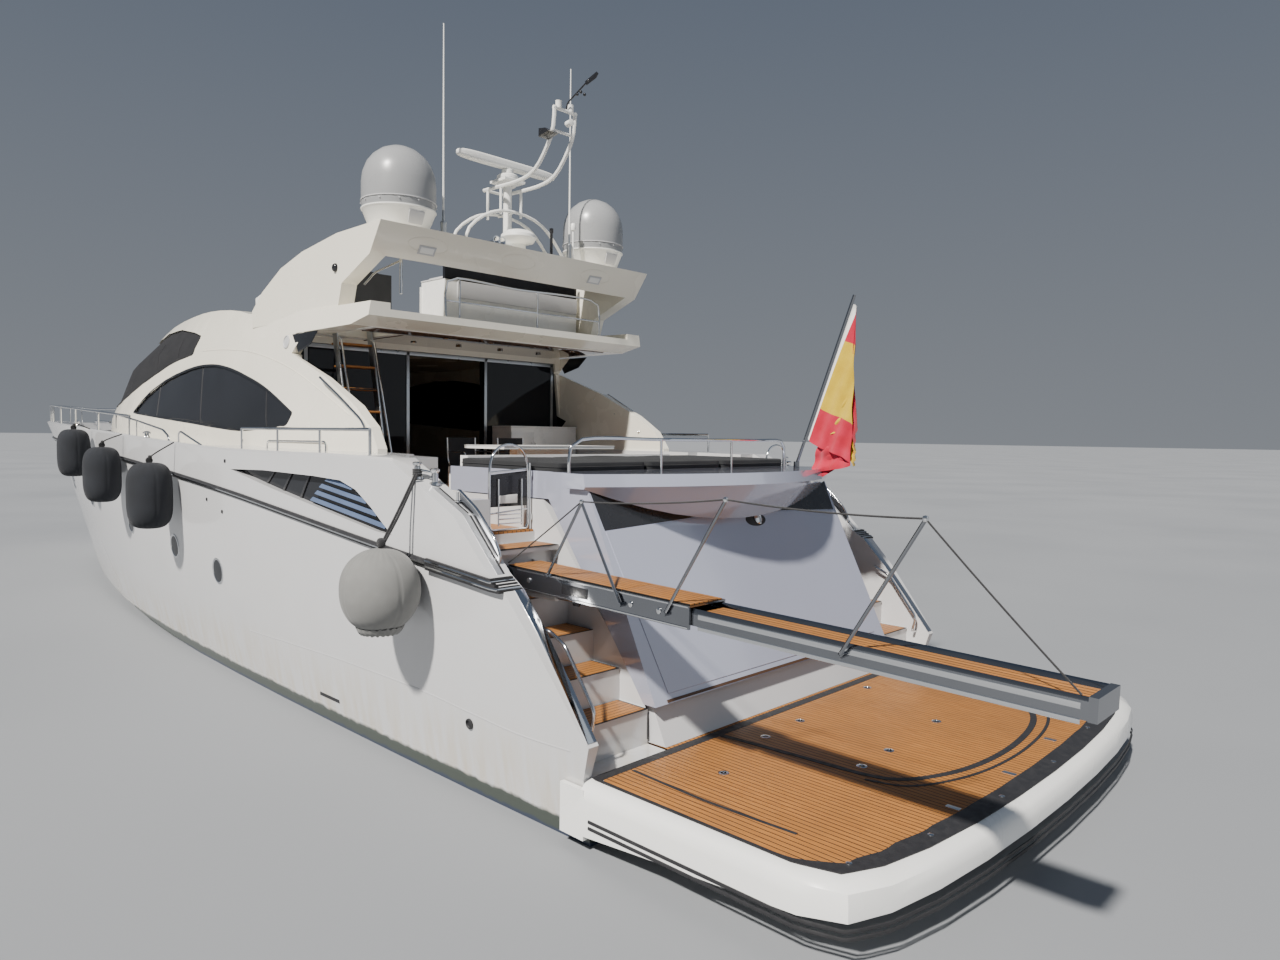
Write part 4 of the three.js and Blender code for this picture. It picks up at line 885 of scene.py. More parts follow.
def rumpled(shape, centre, half, depth=0.006, waves=14):
    """Presses a sum of slow sine waves into the upper half, faded out towards the edges."""
    points, faces = shape
    local = (points - centre) / half
    lift = np.zeros(len(points))
    for _ in range(waves):
        direction, phase = rng.normal(size=2) * WAVINESS, rng.uniform(0, 6.28)
        lift += np.sin(local[:, :2] @ (direction * half[:2]) + phase)
    middle = np.clip(1 - np.abs(local[:, :2]).max(1) ** 6, 0, 1)
    crown = 0.35 * half[2] * np.clip(1 - local[:, :2] ** 2, 0, 1).prod(1)
    pressed = crown - 0.3 * half[2] + depth * lift / math.sqrt(waves) * middle
    return points + np.where(local[:, 2] > 0, pressed, 0)[:, None] * (0, 0, 1.0), faces


def cushion(centre, half, power, rows=30, columns=88):
    """A box cushion with its welt, a closed tube along the rim of the same superquadric."""
    centre, half = np.asarray(centre, float), np.asarray(half, float)
    body = rumpled(pillow(centre, half, power, rows, columns), centre, half)
    flat_ring = np.column_stack([circle(1, WELT_STEPS), np.zeros(WELT_STEPS)])
    rim = centre + bent(flat_ring, power) * half * (1.004, 1.004, 1)
    along = unit(np.roll(rim, -1, 0) - np.roll(rim, 1, 0))
    out, up = np.cross(along, (0, 0, 1.0)), np.array([0, 0, 1.0])
    ring = circle(WELT, 6)
    welt_points = rim[:, None] + out[:, None] * ring[:, :1] + up * ring[:, 1:]
    welt = outward(welt_points.reshape(-1, 3), grid_faces(WELT_STEPS, 6, wrap_rows=True, wrap_columns=True))
    return together(body, welt)


def cushions(name, places, material, body="hull", replaces=()):
    """Several cushions side by side as one padded piece; each place is (centre, half size, power)."""
    shape = together(*[cushion(*place) for place in places])
    piece(name, shape, material, body, smooth_angle=60, replaces=replaces)


PAD_Y = [-1.178, 0.0, 1.178]
cushions("sunpad_cushions", [((-8.25, y, 2.728), (0.775, 0.583, 0.066), 0.10) for y in PAD_Y], charcoal_cloth,
         "garage_door", replaces=["sunpad"])
cushions("foredeck_cushions", [((8.0, y, 2.95), (0.80, 0.45, 0.055), 0.14) for y in (-0.46, 0.46)],
         charcoal_cloth, replaces=["foredeck_pad"])
cushions("settee_cushions", [((-7.005, y, 2.63), (0.10, 0.52, 0.045), 0.2) for y in (-1.16, -0.1, 0.96)],
         charcoal_cloth)
sofa_x = [-2.5 + step * 0.8 for step in (-1, 0, 1)]
sofa_seats = [((x, 1.42, 2.62), (0.39, 0.28, 0.07), 0.2) for x in sofa_x]
sofa_backs = [((x, 1.78, 2.80), (0.39, 0.10, 0.17), 0.3) for x in sofa_x]
cushions("saloon_cushions", sofa_seats + sofa_backs, sofa_cloth)
helm_seats = [((-3.04, y, 4.90), (0.26, 0.27, 0.06), 0.2) for y in (0.44, 1.01)]
helm_backs = [((-3.28, y, 5.14), (0.055, 0.27, 0.20), 0.3) for y in (0.44, 1.01)]
cushions("fly_seat_covers", helm_seats + helm_backs, mesh_cover)

# %% [markdown]
# ## The gangway
#
# The gangway slopes down aft by 1.3 degrees about its root, so its boards are drawn level
# and turned with it. The fixed half has teak panels with dark joints. The sliding half has
# long teak boards between its polished beams.

# %% Deck the gangway
ROOT_X, ROOT_TOP, SLOPE = -9.12, 1.918, math.radians(1.3)
LOW_Y, HIGH_Y = 2.03, 2.42


def sloped(shape):
    """Turns a shape drawn level, with its top at z = 0, to lie on the gangway."""
    points, faces = shape
    along, rise = points[:, 0] - ROOT_X, points[:, 2]
    turned_points = np.stack([ROOT_X + along * math.cos(SLOPE) - rise * math.sin(SLOPE), points[:, 1],
                              ROOT_TOP + along * math.sin(SLOPE) + rise * math.cos(SLOPE)], 1)
    return turned_points, faces


joints_x = [-9.14, -9.82, -10.50, -11.17]
boards = [sloped(block((aft + 0.004, fore - 0.004), (LOW_Y + 0.022, HIGH_Y - 0.022), (0.0, 0.009), 0.002))
          for fore, aft in zip(joints_x, joints_x[1:])]
piece("gangway_boards", together(*boards), deck_teak, "passerelle")
tip_boards = [sloped(block((-13.68, -11.22), (y, y + 0.083), (-0.052, -0.044), 0.002))
              for y in (2.096, 2.184, 2.272)]
piece("gangway_tip_boards", together(*tip_boards), deck_teak, "passerelle_tip")

side_y = HIGH_Y + 0.001
recess = slab([(-9.86, -0.125), (-10.16, -0.125), (-10.16, -0.045), (-9.86, -0.045)], side_y - 0.002,
              side_y + 0.002, 0.001, "xz")
piece("gangway_recess", sloped(recess), black_paint_and_shade, "passerelle")
trim = [slab([(-9.30, -height), (-11.17, -height), (-11.17, -height - 0.012), (-9.30, -height - 0.012)],
             side_y - 0.002, side_y + 0.006, 0.002, "xz") for height in (0.004, 0.148)]
PIN = [(0, 0), (0.022, 0), (0.022, 0.006), (0.012, 0.010), (0, 0.010)]
pins = [turned(PIN, (x, side_y, -0.08), (0, 1, 0), 20) for x in (-9.45, -10.62, -10.9)]
piece("gangway_trim", together(*[sloped(part) for part in trim + pins]), stainless, "passerelle")
tip_side = touch("passerelle_tip", (-12.4, 6, ROOT_TOP - 0.16), (0, -1, 0))[1]
print("sliding half's side at y", round(float(tip_side), 3))
LENS = [(-1.0, -0.003), (1.0, -0.003), (0.9, 0.0004), (0.5, 0.0018), (0, 0.0023), (-0.5, 0.0018),
        (-0.9, 0.0004)]
mouldings = [sloped(sweep(np.array([(-11.24, tip_side, -height), (-13.66, tip_side, -height)]),
                          [(across * half, out) for across, out in LENS], (0, 1, 0)))
             for height, half in ((0.066, 0.020), (0.145, 0.016))]
piece("gangway_tip_mouldings", together(*mouldings), stainless, "passerelle_tip")
cheek_plate = slab([(-9.10, 1.935), (-9.10, 1.73), (-9.20, 1.76), (-9.235, 1.83), (-9.20, 1.90)], 2.436,
                   2.442, 0.002, "xz")
piece("gangway_cheek", cheek_plate, white_moulding)
pivot = turned([(0, 0), (0.026, 0), (0.026, 0.006), (0.014, 0.012), (0, 0.012)], (-9.18, 2.442, 1.826),
               (0, 1, 0), 24)
piece("gangway_pivot_cap", pivot, satin_steel)

# %% [markdown]
# ### Hand lines
#
# A thin dark line is drawn tight over the tops of the stanchions. Between the last fixed
# stanchion and the first sliding one it belongs to neither half, so that length is made on
# its own and rides on no body.

# %% String the hand lines
APEX_Y = HIGH_Y + 0.02
TOPS = [(-10.10, APEX_Y, 2.517), (-11.49, APEX_Y, 2.617), (-12.86, APEX_Y, 2.597),
        (-13.66, APEX_Y - 0.05, 1.80)]
LINE = 0.006


def sagging(first, last, sag, steps=14):
    """A line with a slight parabolic sag between two points."""
    share = np.linspace(0, 1, steps)[:, None]
    path = np.asarray(first) * (1 - share) + np.asarray(last) * share
    path[:, 2:] -= 4 * sag * share * (1 - share)
    return sweep(path, circle(LINE, 8), (0, 1, 0))


piece("hand_line_fixed", together(sagging((-9.20, APEX_Y, 1.95), TOPS[0], 0.004),
                                  sagging(TOPS[0], TOPS[1], 0.02)),
      rope_cloth, "passerelle")
piece("hand_line_tip", sagging(TOPS[2], TOPS[3], 0.01), rope_cloth, "passerelle_tip")
hand_line = dressed("hand_line_sliding", sagging(TOPS[1], TOPS[2], 0.02, 30), rope_cloth, smooth_angle=180)
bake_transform(hand_line)
KNOB = [(0, -0.02), (0.014, -0.016), (0.019, 0.0), (0.014, 0.014), (0, 0.018)]
knobs = [turned(KNOB, top, sides=16) for top in TOPS[:3]]
piece("stanchion_knobs", together(*knobs[:2]), stainless, "passerelle")
piece("stanchion_knob_tip", knobs[2], stainless, "passerelle_tip")

# %% [markdown]
# ## Gates and the cockpit
#
# Each stern gate is a bent tube with an arched top, filled by a dark panel. The tube's path
# goes up one side, over the arch and down the other. Two cross bars tie it, and a folded
# ladder of thin tubes hangs on the outside.

# %% Build the gates
GATE_X, HINGE_Y, FAR_Y = -8.70, 1.822, 2.275


def gate(side):
    """The gate's tubes: an arch, two bars, the hinge post and the folded ladder outside."""
    arch = [(1.865, 2.16), (1.845, 2.20), (1.845, 2.72), (1.875, 2.83), (1.94, 2.905), (2.06, 2.935),
            (2.18, 2.905), (2.245, 2.83), (FAR_Y, 2.72), (FAR_Y, 2.20), (2.255, 2.16), (1.865, 2.16)]
    frame_tube = tube(in_space(arch, GATE_X, "yz"), 0.0125, corner=0.05)
    bars = [tube([(GATE_X, 1.845, z), (GATE_X, FAR_Y, z - 0.03)], 0.008) for z in (2.71, 2.34)]
    hinge_post = tube([(GATE_X, HINGE_Y, 2.153), (GATE_X, HINGE_Y, 2.76)], 0.0165)
    hinges = [turned([(0, 0), (0.024, 0), (0.024, 0.05), (0, 0.05)], (GATE_X, HINGE_Y, z), sides=16)
              for z in (2.24, 2.64)]
    rungs = [[(1.93, z), (2.19, z)] for z in (2.22, 2.26, 2.30)]
    rails = [[(y, 2.20), (y, 2.62)] for y in (1.93, 2.19)]
    ladder = [tube(in_space(ends, GATE_X - 0.022, "yz"), 0.007) for ends in rungs + rails]
    return mirror_if(side, together(frame_tube, *bars, hinge_post, *hinges, *ladder))


def gate_panel(side):
    """The dark panel between the gate's bars."""
    outline = [(1.86, 2.37), (FAR_Y - 0.015, 2.37), (FAR_Y - 0.015, 2.66), (1.86, 2.69)]
    return mirror_if(side, slab(outline, GATE_X - 0.004, GATE_X + 0.004, 0.002, "yz"))


def mirror_if(side, shape):
    """The shape itself to port, and its mirror image to starboard."""
    return mirrored(shape) if side == "starboard" else shape


for side in ("port", "starboard"):
    body = f"gate_{side}"
    piece(f"gate_frame_{side}", gate(side), stainless, body, replaces=[body])
    piece(f"gate_panel_{side}", gate_panel(side), black_paint_and_shade, body)
    vent = slab([(1.97, 2.40), (2.17, 2.40), (2.17, 2.47), (1.97, 2.48)], GATE_X - 0.009, GATE_X - 0.003,
                0.002, "yz")
    piece(f"gate_vent_{side}", mirror_if(side, vent), white_plastic, body)

# %% [markdown]
# ### Chairs, table and cabinet
#
# The chairs are steel frames with a dark sling. The seat and back are one curved sheet: a
# grid whose profile is a smooth path through a few points, with a slight sag between the
# two side tubes.

# %% Furnish the cockpit
CHAIR_PROFILE = [(-5.79, 2.60), (-5.62, 2.585), (-5.45, 2.60), (-5.385, 2.66), (-5.37, 2.80), (-5.36, 2.97)]


def sling(y):
    """Seat and back in one sheet, 6 mm thick, sagging by 12 mm in the middle."""
    profile = curve_through(CHAIR_PROFILE, 24)
    slope = np.gradient(profile, axis=0)
    normal = unit(np.stack([-slope[:, 1], slope[:, 0]], 1))
    across = np.linspace(-1, 1, 9)
    sag = 0.012 * (1 - across**2)
    rings = []
    for half in (0.003, -0.003):
        x = profile[:, :1] + normal[:, :1] * (half - sag)
        z = profile[:, 1:] + normal[:, 1:] * (half - sag)
        rings.append(np.stack([x, np.broadcast_to(y + across * 0.205, x.shape), z], -1))
    loops = np.concatenate([rings[0], rings[1][:, ::-1]], 1)
    return closed_rings(loops)


def chair_frame(y):
    """Two side frames, each a front leg with the back, a rear leg and an arm, and two ties."""
    tubes = []
    for edge in (y - 0.215, y + 0.215):
        for radius, run in [(0.012, [(-5.77, 2.165), (-5.77, 2.59), *CHAIR_PROFILE[1:]]),
                            (0.012, [(-5.38, 2.165), (-5.40, 2.60)]),
                            (0.011, [(-5.77, 2.60), (-5.77, 2.79), (-5.40, 2.79)])]:
            tubes.append(tube(in_space(run, edge), radius))
    tubes += [tube([(x, y - 0.215, 2.30), (x, y + 0.215, 2.30)], 0.009) for x in (-5.77, -5.385)]
    return together(*tubes)


for side, y in (("port", 0.30), ("starboard", -0.50)):
    piece(f"chair_sling_{side}", sling(y), chair_mesh, replaces=[f"cockpit_chair_{side}"])
    piece(f"chair_frame_{side}", chair_frame(y), stainless)

table_top = block((-6.755, -5.945), (-1.155, 0.655), (2.879, 2.886), 0.003)
piece("table_inlay", table_top, white_moulding)
counter = block((-4.94, -4.476), (-2.10, -0.84), (3.119, 3.145), 0.008)
piece("cabinet_counter", counter, white_moulding)
doors = [slab([(near, 2.24), (far, 2.24), (far, 3.06), (near, 3.06)], -4.936, -4.928, 0.003, "yz")
         for near, far in [(-1.63, -1.25), (-1.23, -0.85)]]
HANDLE = [(-4.934, 2.75), (-4.955, 2.75), (-4.955, 2.90), (-4.934, 2.90)]
handles = [tube(in_space(HANDLE, y), 0.006) for y in (-1.27, -1.21)]
piece("cabinet_doors", together(*doors), white_moulding)
piece("cabinet_handles", together(*handles), stainless)

# %% [markdown]
# ### Ladder, ceiling and glass wall
#
# The ladder to the flybridge has flat side members, seven teak treads and two hand tubes.
# The ceiling over the cockpit is glossy brown lacquer inside a white border, and mirrors
# the deck below.

# %% Build the ladder and line the ceiling
FOOT, HEAD = np.array([-5.35, 2.1503]), np.array([-4.80, 4.37])
stringer = [FOOT, FOOT + (0.11, 0), HEAD + (0.05, 0), HEAD - (0.06, 0)]
sides = [slab(stringer, y, y + 0.022, 0.004, "xz") for y in (1.302, 1.766)]
TREADS = 7
places = [FOOT + (HEAD - FOOT) * step / (TREADS + 1) for step in range(1, TREADS + 1)]
steps = [block((x - 0.04, x + 0.15), (1.324, 1.766), (z + 0.002, z + 0.028), 0.006) for x, z in places]
HAND_RUN = [(FOOT[0] + 0.02, 2.62), (FOOT[0] - 0.06, 2.66), (HEAD[0] - 0.16, 4.16), (HEAD[0] - 0.09, 4.18)]
hand_tubes = [tube(in_space(HAND_RUN, y), 0.014) for y in (1.325, 1.765)]
piece("ladder_sides", together(*sides), satin_steel, replaces=["fly_ladder"])
piece("ladder_treads", together(*steps), cross_teak)
piece("ladder_hand_tubes", together(*hand_tubes), stainless)

ceiling = [(-5.86, -1.78), (-4.50, -1.92), (-4.50, 1.22), (-5.50, 1.22), (-5.50, 1.78), (-5.86, 1.78)]
piece("cockpit_ceiling", slab(ceiling, 4.206, 4.2215, 0.003), brown_gloss)
border = [(-5.90, -1.86), (-4.46, -2.0), (-4.46, 2.0), (-4.64, 1.98), (-4.64, 1.25), (-5.53, 1.25),
          (-5.53, 1.86), (-5.90, 1.86)]
piece("ceiling_border", slab(border, 4.2165, 4.2222, 0.002), white_moulding)
SPOT = [(0, -0.004), (0.036, -0.004), (0.040, 0), (0.030, 0.004), (0, 0.004)]
spots = [turned(SPOT, (x, y, 4.206), sides=20) for x in (-5.60, -4.85) for y in (-1.4, -0.7, 0.0, 0.7)]
piece("ceiling_spots", together(*spots), stainless)

WALL_X = -4.466
WALL_BARS = [((y - 0.022, y + 0.022), (2.16, 4.12)) for y in (-1.98, -0.725, 0.555, 1.98)]
WALL_BARS += [((-2.0, 2.0), (4.075, 4.125)), ((-2.09, -0.74), (2.165, 2.215)), ((0.57, 2.09), (2.165, 2.215))]
wall_bars = [block((WALL_X - 0.012, WALL_X + 0.004), y, z, 0.003) for y, z in WALL_BARS]
piece("glass_wall_frames", together(*wall_bars), satin_steel)
sill = block((-4.47, -4.405), (-0.70, 0.53), (2.2995, 2.306), 0.002)
piece("door_sill", sill, stainless)
handle = tube(in_space([(-4.392, 3.0), (-4.412, 3.0), (-4.412, 3.35), (-4.392, 3.35)], -0.79), 0.008)
piece("door_handle", handle, stainless, "saloon_door")
saloon_floor = [(-4.33, -1.9), (0.9, -1.85), (3.5, -1.4), (3.5, 1.4), (0.9, 1.85), (-4.33, 1.9)]
piece("saloon_floor", slab(saloon_floor, 2.1305, 2.136, 0.002), margin_teak)

# %% [markdown]
# ## Deckhouse trim
#
# Mullions divide the long saloon panes, a fine moulding follows the crease above them, and
# lights and a loudspeaker sit on the side. Every line is laid on the surface by rays, at a
# few places along its length, and mirrored to starboard.

# %% Trim the deckhouse and the flybridge
def side_line(name, pairs, half_width, proud, steps=40, sink=0.004):
    """A low moulding that follows a side through (x, z) pairs; it is drawn through rays onto the part."""
    path = on_side(name, curve_through(pairs, steps))
    section = [(-half_width, -sink), (half_width, -sink), (half_width * 0.8, proud),
               (-half_width * 0.8, proud)]
    return sweep(path, section, (0, 1, 0))


def edge_of_window(name, x, z, lean, way, step=0.01):
    """Walks from (x, z) up or down along a leaning line until a ray from port misses the window."""
    place, stride = np.array([x, z]), np.array([lean, 1.0]) * way * step
    while nodes[name].ray_cast(Vector(in_space([place + stride], RAY_START)[0]), Vector((0, -1, 0)))[0]:
        place += stride
    return place


MULLIONS = [(0.52, 3.50, 0.45), (-1.43, 3.55, 0.38), (-3.83, 3.30, 0.24)]
saloon_posts = []
for mullion in MULLIONS:
    ends = [edge_of_window("saloon_window_port", *mullion, way) for way in (1, -1)]
    saloon_posts.append(side_line("saloon_window_port", ends, 0.014, 0.004, 8))
piece("saloon_mullions", both_sides(*saloon_posts), black_rubber)
SALOON_EDGE = [(1.70, 3.31), (1.15, 3.59), (0.36, 3.80), (-0.46, 3.92), (-1.13, 3.97), (-1.78, 3.96),
               (-2.33, 3.90), (-2.91, 3.79), (-3.77, 3.57), (-4.65, 3.24)]
SALOON_FOOT = [(-4.65, 3.24), (-4.50, 3.11), (-4.30, 3.094), (-3.90, 3.063), (-3.09, 3.03), (-2.20, 3.07),
               (-1.27, 3.13), (0.20, 3.217), (1.70, 3.31)]
COVER_EDGE = [(-0.78, 4.44), (-0.78, 4.34), (-0.775, 4.24), (-0.72, 4.185), (-0.55, 4.17), (0.19, 4.10),
              (0.94, 3.96), (1.82, 3.78), (2.60, 3.61), (3.40, 3.47), (4.60, 3.40)]
COVER_SEAMS = [[(1.333, 4.474), (1.097, 4.023)], [(0.25, 4.502), (0.034, 4.16)]]


def window_band(pairs, half_width, proud, steps):
    """A band on the edge of a window. The wall's height there is carried in from two rays outside it."""
    edge = curve_through(pairs, steps)
    along = unit(np.gradient(edge, axis=0))
    away = np.stack([along[:, 1], -along[:, 0]], 1)
    near, far = (on_side("deckhouse", edge + away * reach)[:, 1] for reach in (0.03, 0.06))
    path = np.stack([edge[:, 0], 2 * near - far, edge[:, 1]], 1)
    section = [(-half_width, -0.012), (half_width, -0.012), (half_width * 0.85, proud),
               (-half_width * 0.85, proud)]
    return sweep(path, section, (0, 1, 0))


gaskets = together(window_band(SALOON_EDGE, 0.018, 0.002, 90), window_band(SALOON_FOOT, 0.016, 0.002, 60))
piece("window_gaskets", both_sides(gaskets), smoked_glass)
hem = window_band(COVER_EDGE, 0.022, 0.006, 90)
seams = [side_line("wheelhouse_glass", pair, 0.008, 0.004, 8) for pair in COVER_SEAMS]
piece("cover_hems", both_sides(hem, *seams), mesh_cover)
crease = side_line("deckhouse", [(-1.20, 4.20), (-2.2, 4.16), (-3.29, 4.05), (-4.44, 3.80), (-5.43, 3.46),
                                 (-6.10, 3.20)], 0.006, 0.004)
piece("house_crease", both_sides(crease), cream_gelcoat)


def side_normal(name, x, z, step=0.08):
    """The outward normal of a side: square to the two steps between three points on it."""
    sideways = -step if name == "hull_stern" else step
    here, beside, above = on_side(name, [(x, z), (x + sideways, z), (x, z + step)])
    normal = np.cross(above - here, beside - here)
    return unit(normal * np.sign(normal[1]))


def side_button(name, x, z, profile, sides=24):
    """A turned fitting on the port side, square to its surface."""
    return turned(profile, on_side(name, [(x, z)])[0], side_normal(name, x, z), sides)


LAMP = [(0, -0.004), (0.05, -0.004), (0.05, 0.012), (0.038, 0.03), (0.022, 0.036), (0, 0.038)]
SPEAKER = [(0, -0.004), (0.085, -0.004), (0.085, 0.008), (0.072, 0.014), (0.066, 0.006), (0.03, 0.004),
           (0, 0.010)]
piece("side_lamps", both_sides(side_button("radar_arch", -5.42, 4.91, LAMP)), black_paint_and_shade)
piece("speakers", both_sides(side_button("deckhouse", -4.27, 4.13, SPEAKER)), grey_moulding_and_shade)

edge_path = [(-5.45, 3.64), (-5.90, 3.42), (-6.39, 3.16), (-6.48, 3.065)]
edge_rail = [tube([(x, 2.27, z) for x, z in edge_path], 0.014)]
edge_rail += [tube([(x, 2.27, z), (x + 0.06, 2.20, z - 0.05), (x + 0.16, 2.12, z - 0.08)], 0.010)
              for x, z in edge_path]
piece("house_edge_rails", both_sides(*edge_rail), stainless)
low_rail = tube([(-3.99, 2.26, 2.70), (-3.99, 2.26, 2.90), (-5.59, 2.27, 2.91), (-5.59, 2.27, 2.70)], 0.012)
piece("low_hand_rails", both_sides(low_rail), stainless)
PANE_Y = 2.135
corner_pane = slab([(-4.44, 4.21), (-5.12, 4.21), (-4.93, 4.06), (-4.60, 3.98)], PANE_Y - 0.006, PANE_Y,
                   0.002, "xz")
piece("corner_panes", both_sides(corner_pane), smoked_glass)

# %% [markdown]
# ### Flybridge fittings
#
# The photographed bar is wider and lower than its packed stand-in, so a new body takes its
# place: a grey panel, whose grey is painted shade on the white aft face, and a dark screen
# along its aft side, a counter, a grill's lid and doors. The helm has a wheel: a ring turned
# about a leaning axis, three spokes and a hub.

# %% Fit out the flybridge
BAR_PORT, BAR_STARBOARD, BAR_FOOT, BAR_TOP, SCREEN_TOP = 0.485, -1.79, 4.382, 5.03, 5.245
bar_body = block((-5.25, -4.70), (BAR_STARBOARD, BAR_PORT), (BAR_FOOT, BAR_TOP), 0.012)
piece("bar_body", bar_body, white_moulding, replaces=["fly_bar"])
screen_outline = [(BAR_STARBOARD, BAR_TOP), (BAR_PORT, BAR_TOP), (BAR_PORT, SCREEN_TOP),
                  (BAR_STARBOARD, SCREEN_TOP)]
piece("bar_screen", slab(screen_outline, -5.256, -5.204, 0.003, "yz"), smoked_glass)
bar_top = block((-5.20, -4.69), (BAR_STARBOARD, 0.49), (BAR_TOP - 0.001, BAR_TOP + 0.02), 0.006)
# The aft panel is grey as painted shade on the white bar's aft face.
bar_shade_panel = block((-5.262, -5.245), (BAR_STARBOARD, BAR_PORT - 0.20), (4.80, BAR_TOP - 0.006), 0.004)
grill_lid = pillow((-4.95, 0.20, 5.055), (0.20, 0.24, 0.03), 0.3, 12, 32)
piece("bar_counter", together(bar_top, bar_shade_panel, grill_lid), grey_moulding_and_shade)
bar_doors = [slab([(near, 4.43), (far, 4.43), (far, 4.97), (near, 4.97)], -4.703, -4.694, 0.003, "yz")
             for near, far in [(-1.61, -1.11), (-1.07, -0.57), (-0.53, -0.03), (0.01, 0.51)]]
piece("bar_doors", together(*bar_doors), white_moulding)

wheel_centre, wheel_axis = np.array([-2.03, 0.75, 4.98]), unit(np.array([-1.0, 0, 0.45]))


def on_wheel(radius, angle):
    """Points on the wheel's plane at a radius and at one or more angles."""
    angle, across = np.atleast_1d(angle)[:, None], np.array([0, 1.0, 0])
    return wheel_centre + radius * (np.cos(angle) * across + np.sin(angle) * np.cross(wheel_axis, across))


rim_path = on_wheel(0.19, np.linspace(0, 2 * np.pi, 49))
spokes = [tube([wheel_centre, on_wheel(0.185, angle)[0]], 0.009) for angle in (0.5, 2.64, 4.71)]
hub = turned([(0, -0.09), (0.03, -0.09), (0.03, 0), (0.045, 0.01), (0, 0.02)], wheel_centre, wheel_axis, 20)
piece("helm_wheel", together(sweep(rim_path, circle(0.012, 8), wheel_axis), *spokes, hub), black_rubber)
dash = slab([(-1.97, 4.905), (-1.765, 5.168), (-1.755, 5.160), (-1.955, 4.90)], 0.26, 1.24, 0.002, "xz")
piece("helm_dash", dash, black_paint_and_shade)

# %% [markdown]
# ## Roof gear
#
# The two large domes wear a white band and a white skirt. The radar's bar is a long
# superquadric, so its ends are round. The small dome, lamps, horn and wind vane are turned
# profiles and thin tubes round the mast.

# %% Fit the domes, the radar bar and the small gear
DOME_X, DOME_Y, SPIN = -5.89, 1.52, np.array([-5.80, -0.10, 6.37])
SKIRT = [(0.20, 5.3035), (0.306, 5.3035), (0.325, 5.34), (0.410, 5.552), (0.4235, 5.562), (0.4235, 5.574),
         (0.30, 5.576)]
skirt = turned(SKIRT, (DOME_X, DOME_Y, 0), sides=48)
piece("dome_skirts", both_sides(skirt), white_plastic)
joint = turned([(0.40, 5.655), (0.4275, 5.657), (0.4275, 5.667), (0.40, 5.669)], (DOME_X, DOME_Y, 0),
               sides=48)
bolts = [turned([(0, 0), (0.008, 0), (0.008, 0.006), (0, 0.008)],
                (DOME_X + 0.422 * x, DOME_Y + 0.422 * y, 5.63), (x, y, 0), 8) for x, y in circle(1, 12)]
hatch = slab([(-0.09, -0.075), (0.09, -0.075), (0.10, 0.075), (-0.10, 0.075)], 0, 0.012, 0.003, "yz")
HATCH_TURN = [[-0.93, 0, -0.36], [0, 1, 0], [-0.36, 0, 0.93]]
hatch_points = hatch[0] @ np.array(HATCH_TURN) + (DOME_X - 0.362, DOME_Y, 5.45)
piece("dome_joints", both_sides(joint, *bolts, (hatch_points, hatch[1])), grey_moulding_and_shade)

bar = pillow(SPIN + (0, 0, 0.115), (0.066, 0.772, 0.056), 0.45, 20, 64)
motor = turned([(0, 0.003), (0.075, 0.003), (0.075, 0.05), (0.055, 0.066), (0, 0.066)], SPIN, sides=28)
piece("radar_bar", together(bar, motor), white_plastic, "radar_scanner", replaces=["radar_scanner"])
CAN = [(0, -0.16), (0.10, -0.16), (0.135, -0.13), (0.138, -0.03), (0.12, -0.012), (0.075, -0.004),
       (0, -0.004)]
can = turned(CAN, SPIN, sides=36)
ribs = [turned([(0.10, low), (0.1405, low), (0.1405, high), (0.10, high)], SPIN, sides=36)
        for low, high in [(-0.109, -0.101), (-0.059, -0.051)]]
piece("radar_can", together(can, *ribs), white_moulding)

ARCH_TOP = 5.3003
small_dome = turned([(0, 0), (0.09, 0), (0.09, 0.12), (0.19, 0.15), (0.225, 0.20), (0.22, 0.235),
                     (0.16, 0.285), (0.08, 0.305), (0, 0.31)], (-6.10, -0.05, ARCH_TOP), sides=40)
lamp_post = together(tube([(-6.12, -0.95, ARCH_TOP), (-6.12, -0.95, 5.78)], 0.012),
                     turned([(0, 0), (0.03, 0), (0.034, 0.02), (0.034, 0.075), (0.022, 0.09), (0, 0.092)],
                            (-6.12, -0.95, 5.76), sides=20))
piece("roof_dome_and_lamp", together(small_dome, lamp_post), white_plastic)
horn = [turned([(0, 0), (0.02, 0.0), (0.024, 0.16), (0.05, 0.24), (0.056, 0.25), (0.045, 0.25), (0, 0.20)],
               (-5.98, y, 5.37), (-1, 0, 0.08), 20) for y in (0.30, 0.38)]
horn.append(block((-6.12, -6.0), (0.28, 0.40), (ARCH_TOP, 5.36), 0.004))
black_post = turned([(0, 0), (0.03, 0), (0.02, 0.02), (0.018, 0.36), (0.026, 0.37), (0.026, 0.42), (0, 0.43)],
                    (-6.10, -0.59, ARCH_TOP), sides=20)
vane_arm = tube(in_space([(-6.94, 6.90), (-6.96, 6.98), (-7.29, 7.13), (-7.33, 7.145)], -0.10), 0.009)
vane_tail = slab([(-7.27, 7.15), (-7.47, 7.21), (-7.50, 7.18), (-7.46, 7.14), (-7.30, 7.10)], -0.104, -0.096,
                 0.002, "xz")
CUP = (0.018, 0.018, 0.018)
cups = [pillow((-7.20 + 0.05 * math.cos(t), -0.10 + 0.05 * math.sin(t), 7.03), CUP, 0.9, 8, 12)
        for t in (0.3, 2.4, 4.5)]
floodlight = slab([(-6.98, 6.60), (-7.05, 6.55), (-6.86, 6.52), (-6.86, 6.62)], 0.10, 0.26, 0.008, "xz")
piece("mast_black_gear", together(black_post, vane_arm, vane_tail, *cups, floodlight), black_paint_and_shade)
piece("mast_horns", together(*horn), stainless)
mast_lamp = [(0, 0), (0.035, 0), (0.038, 0.015), (0.036, 0.07), (0.04, 0.085), (0, 0.09)]
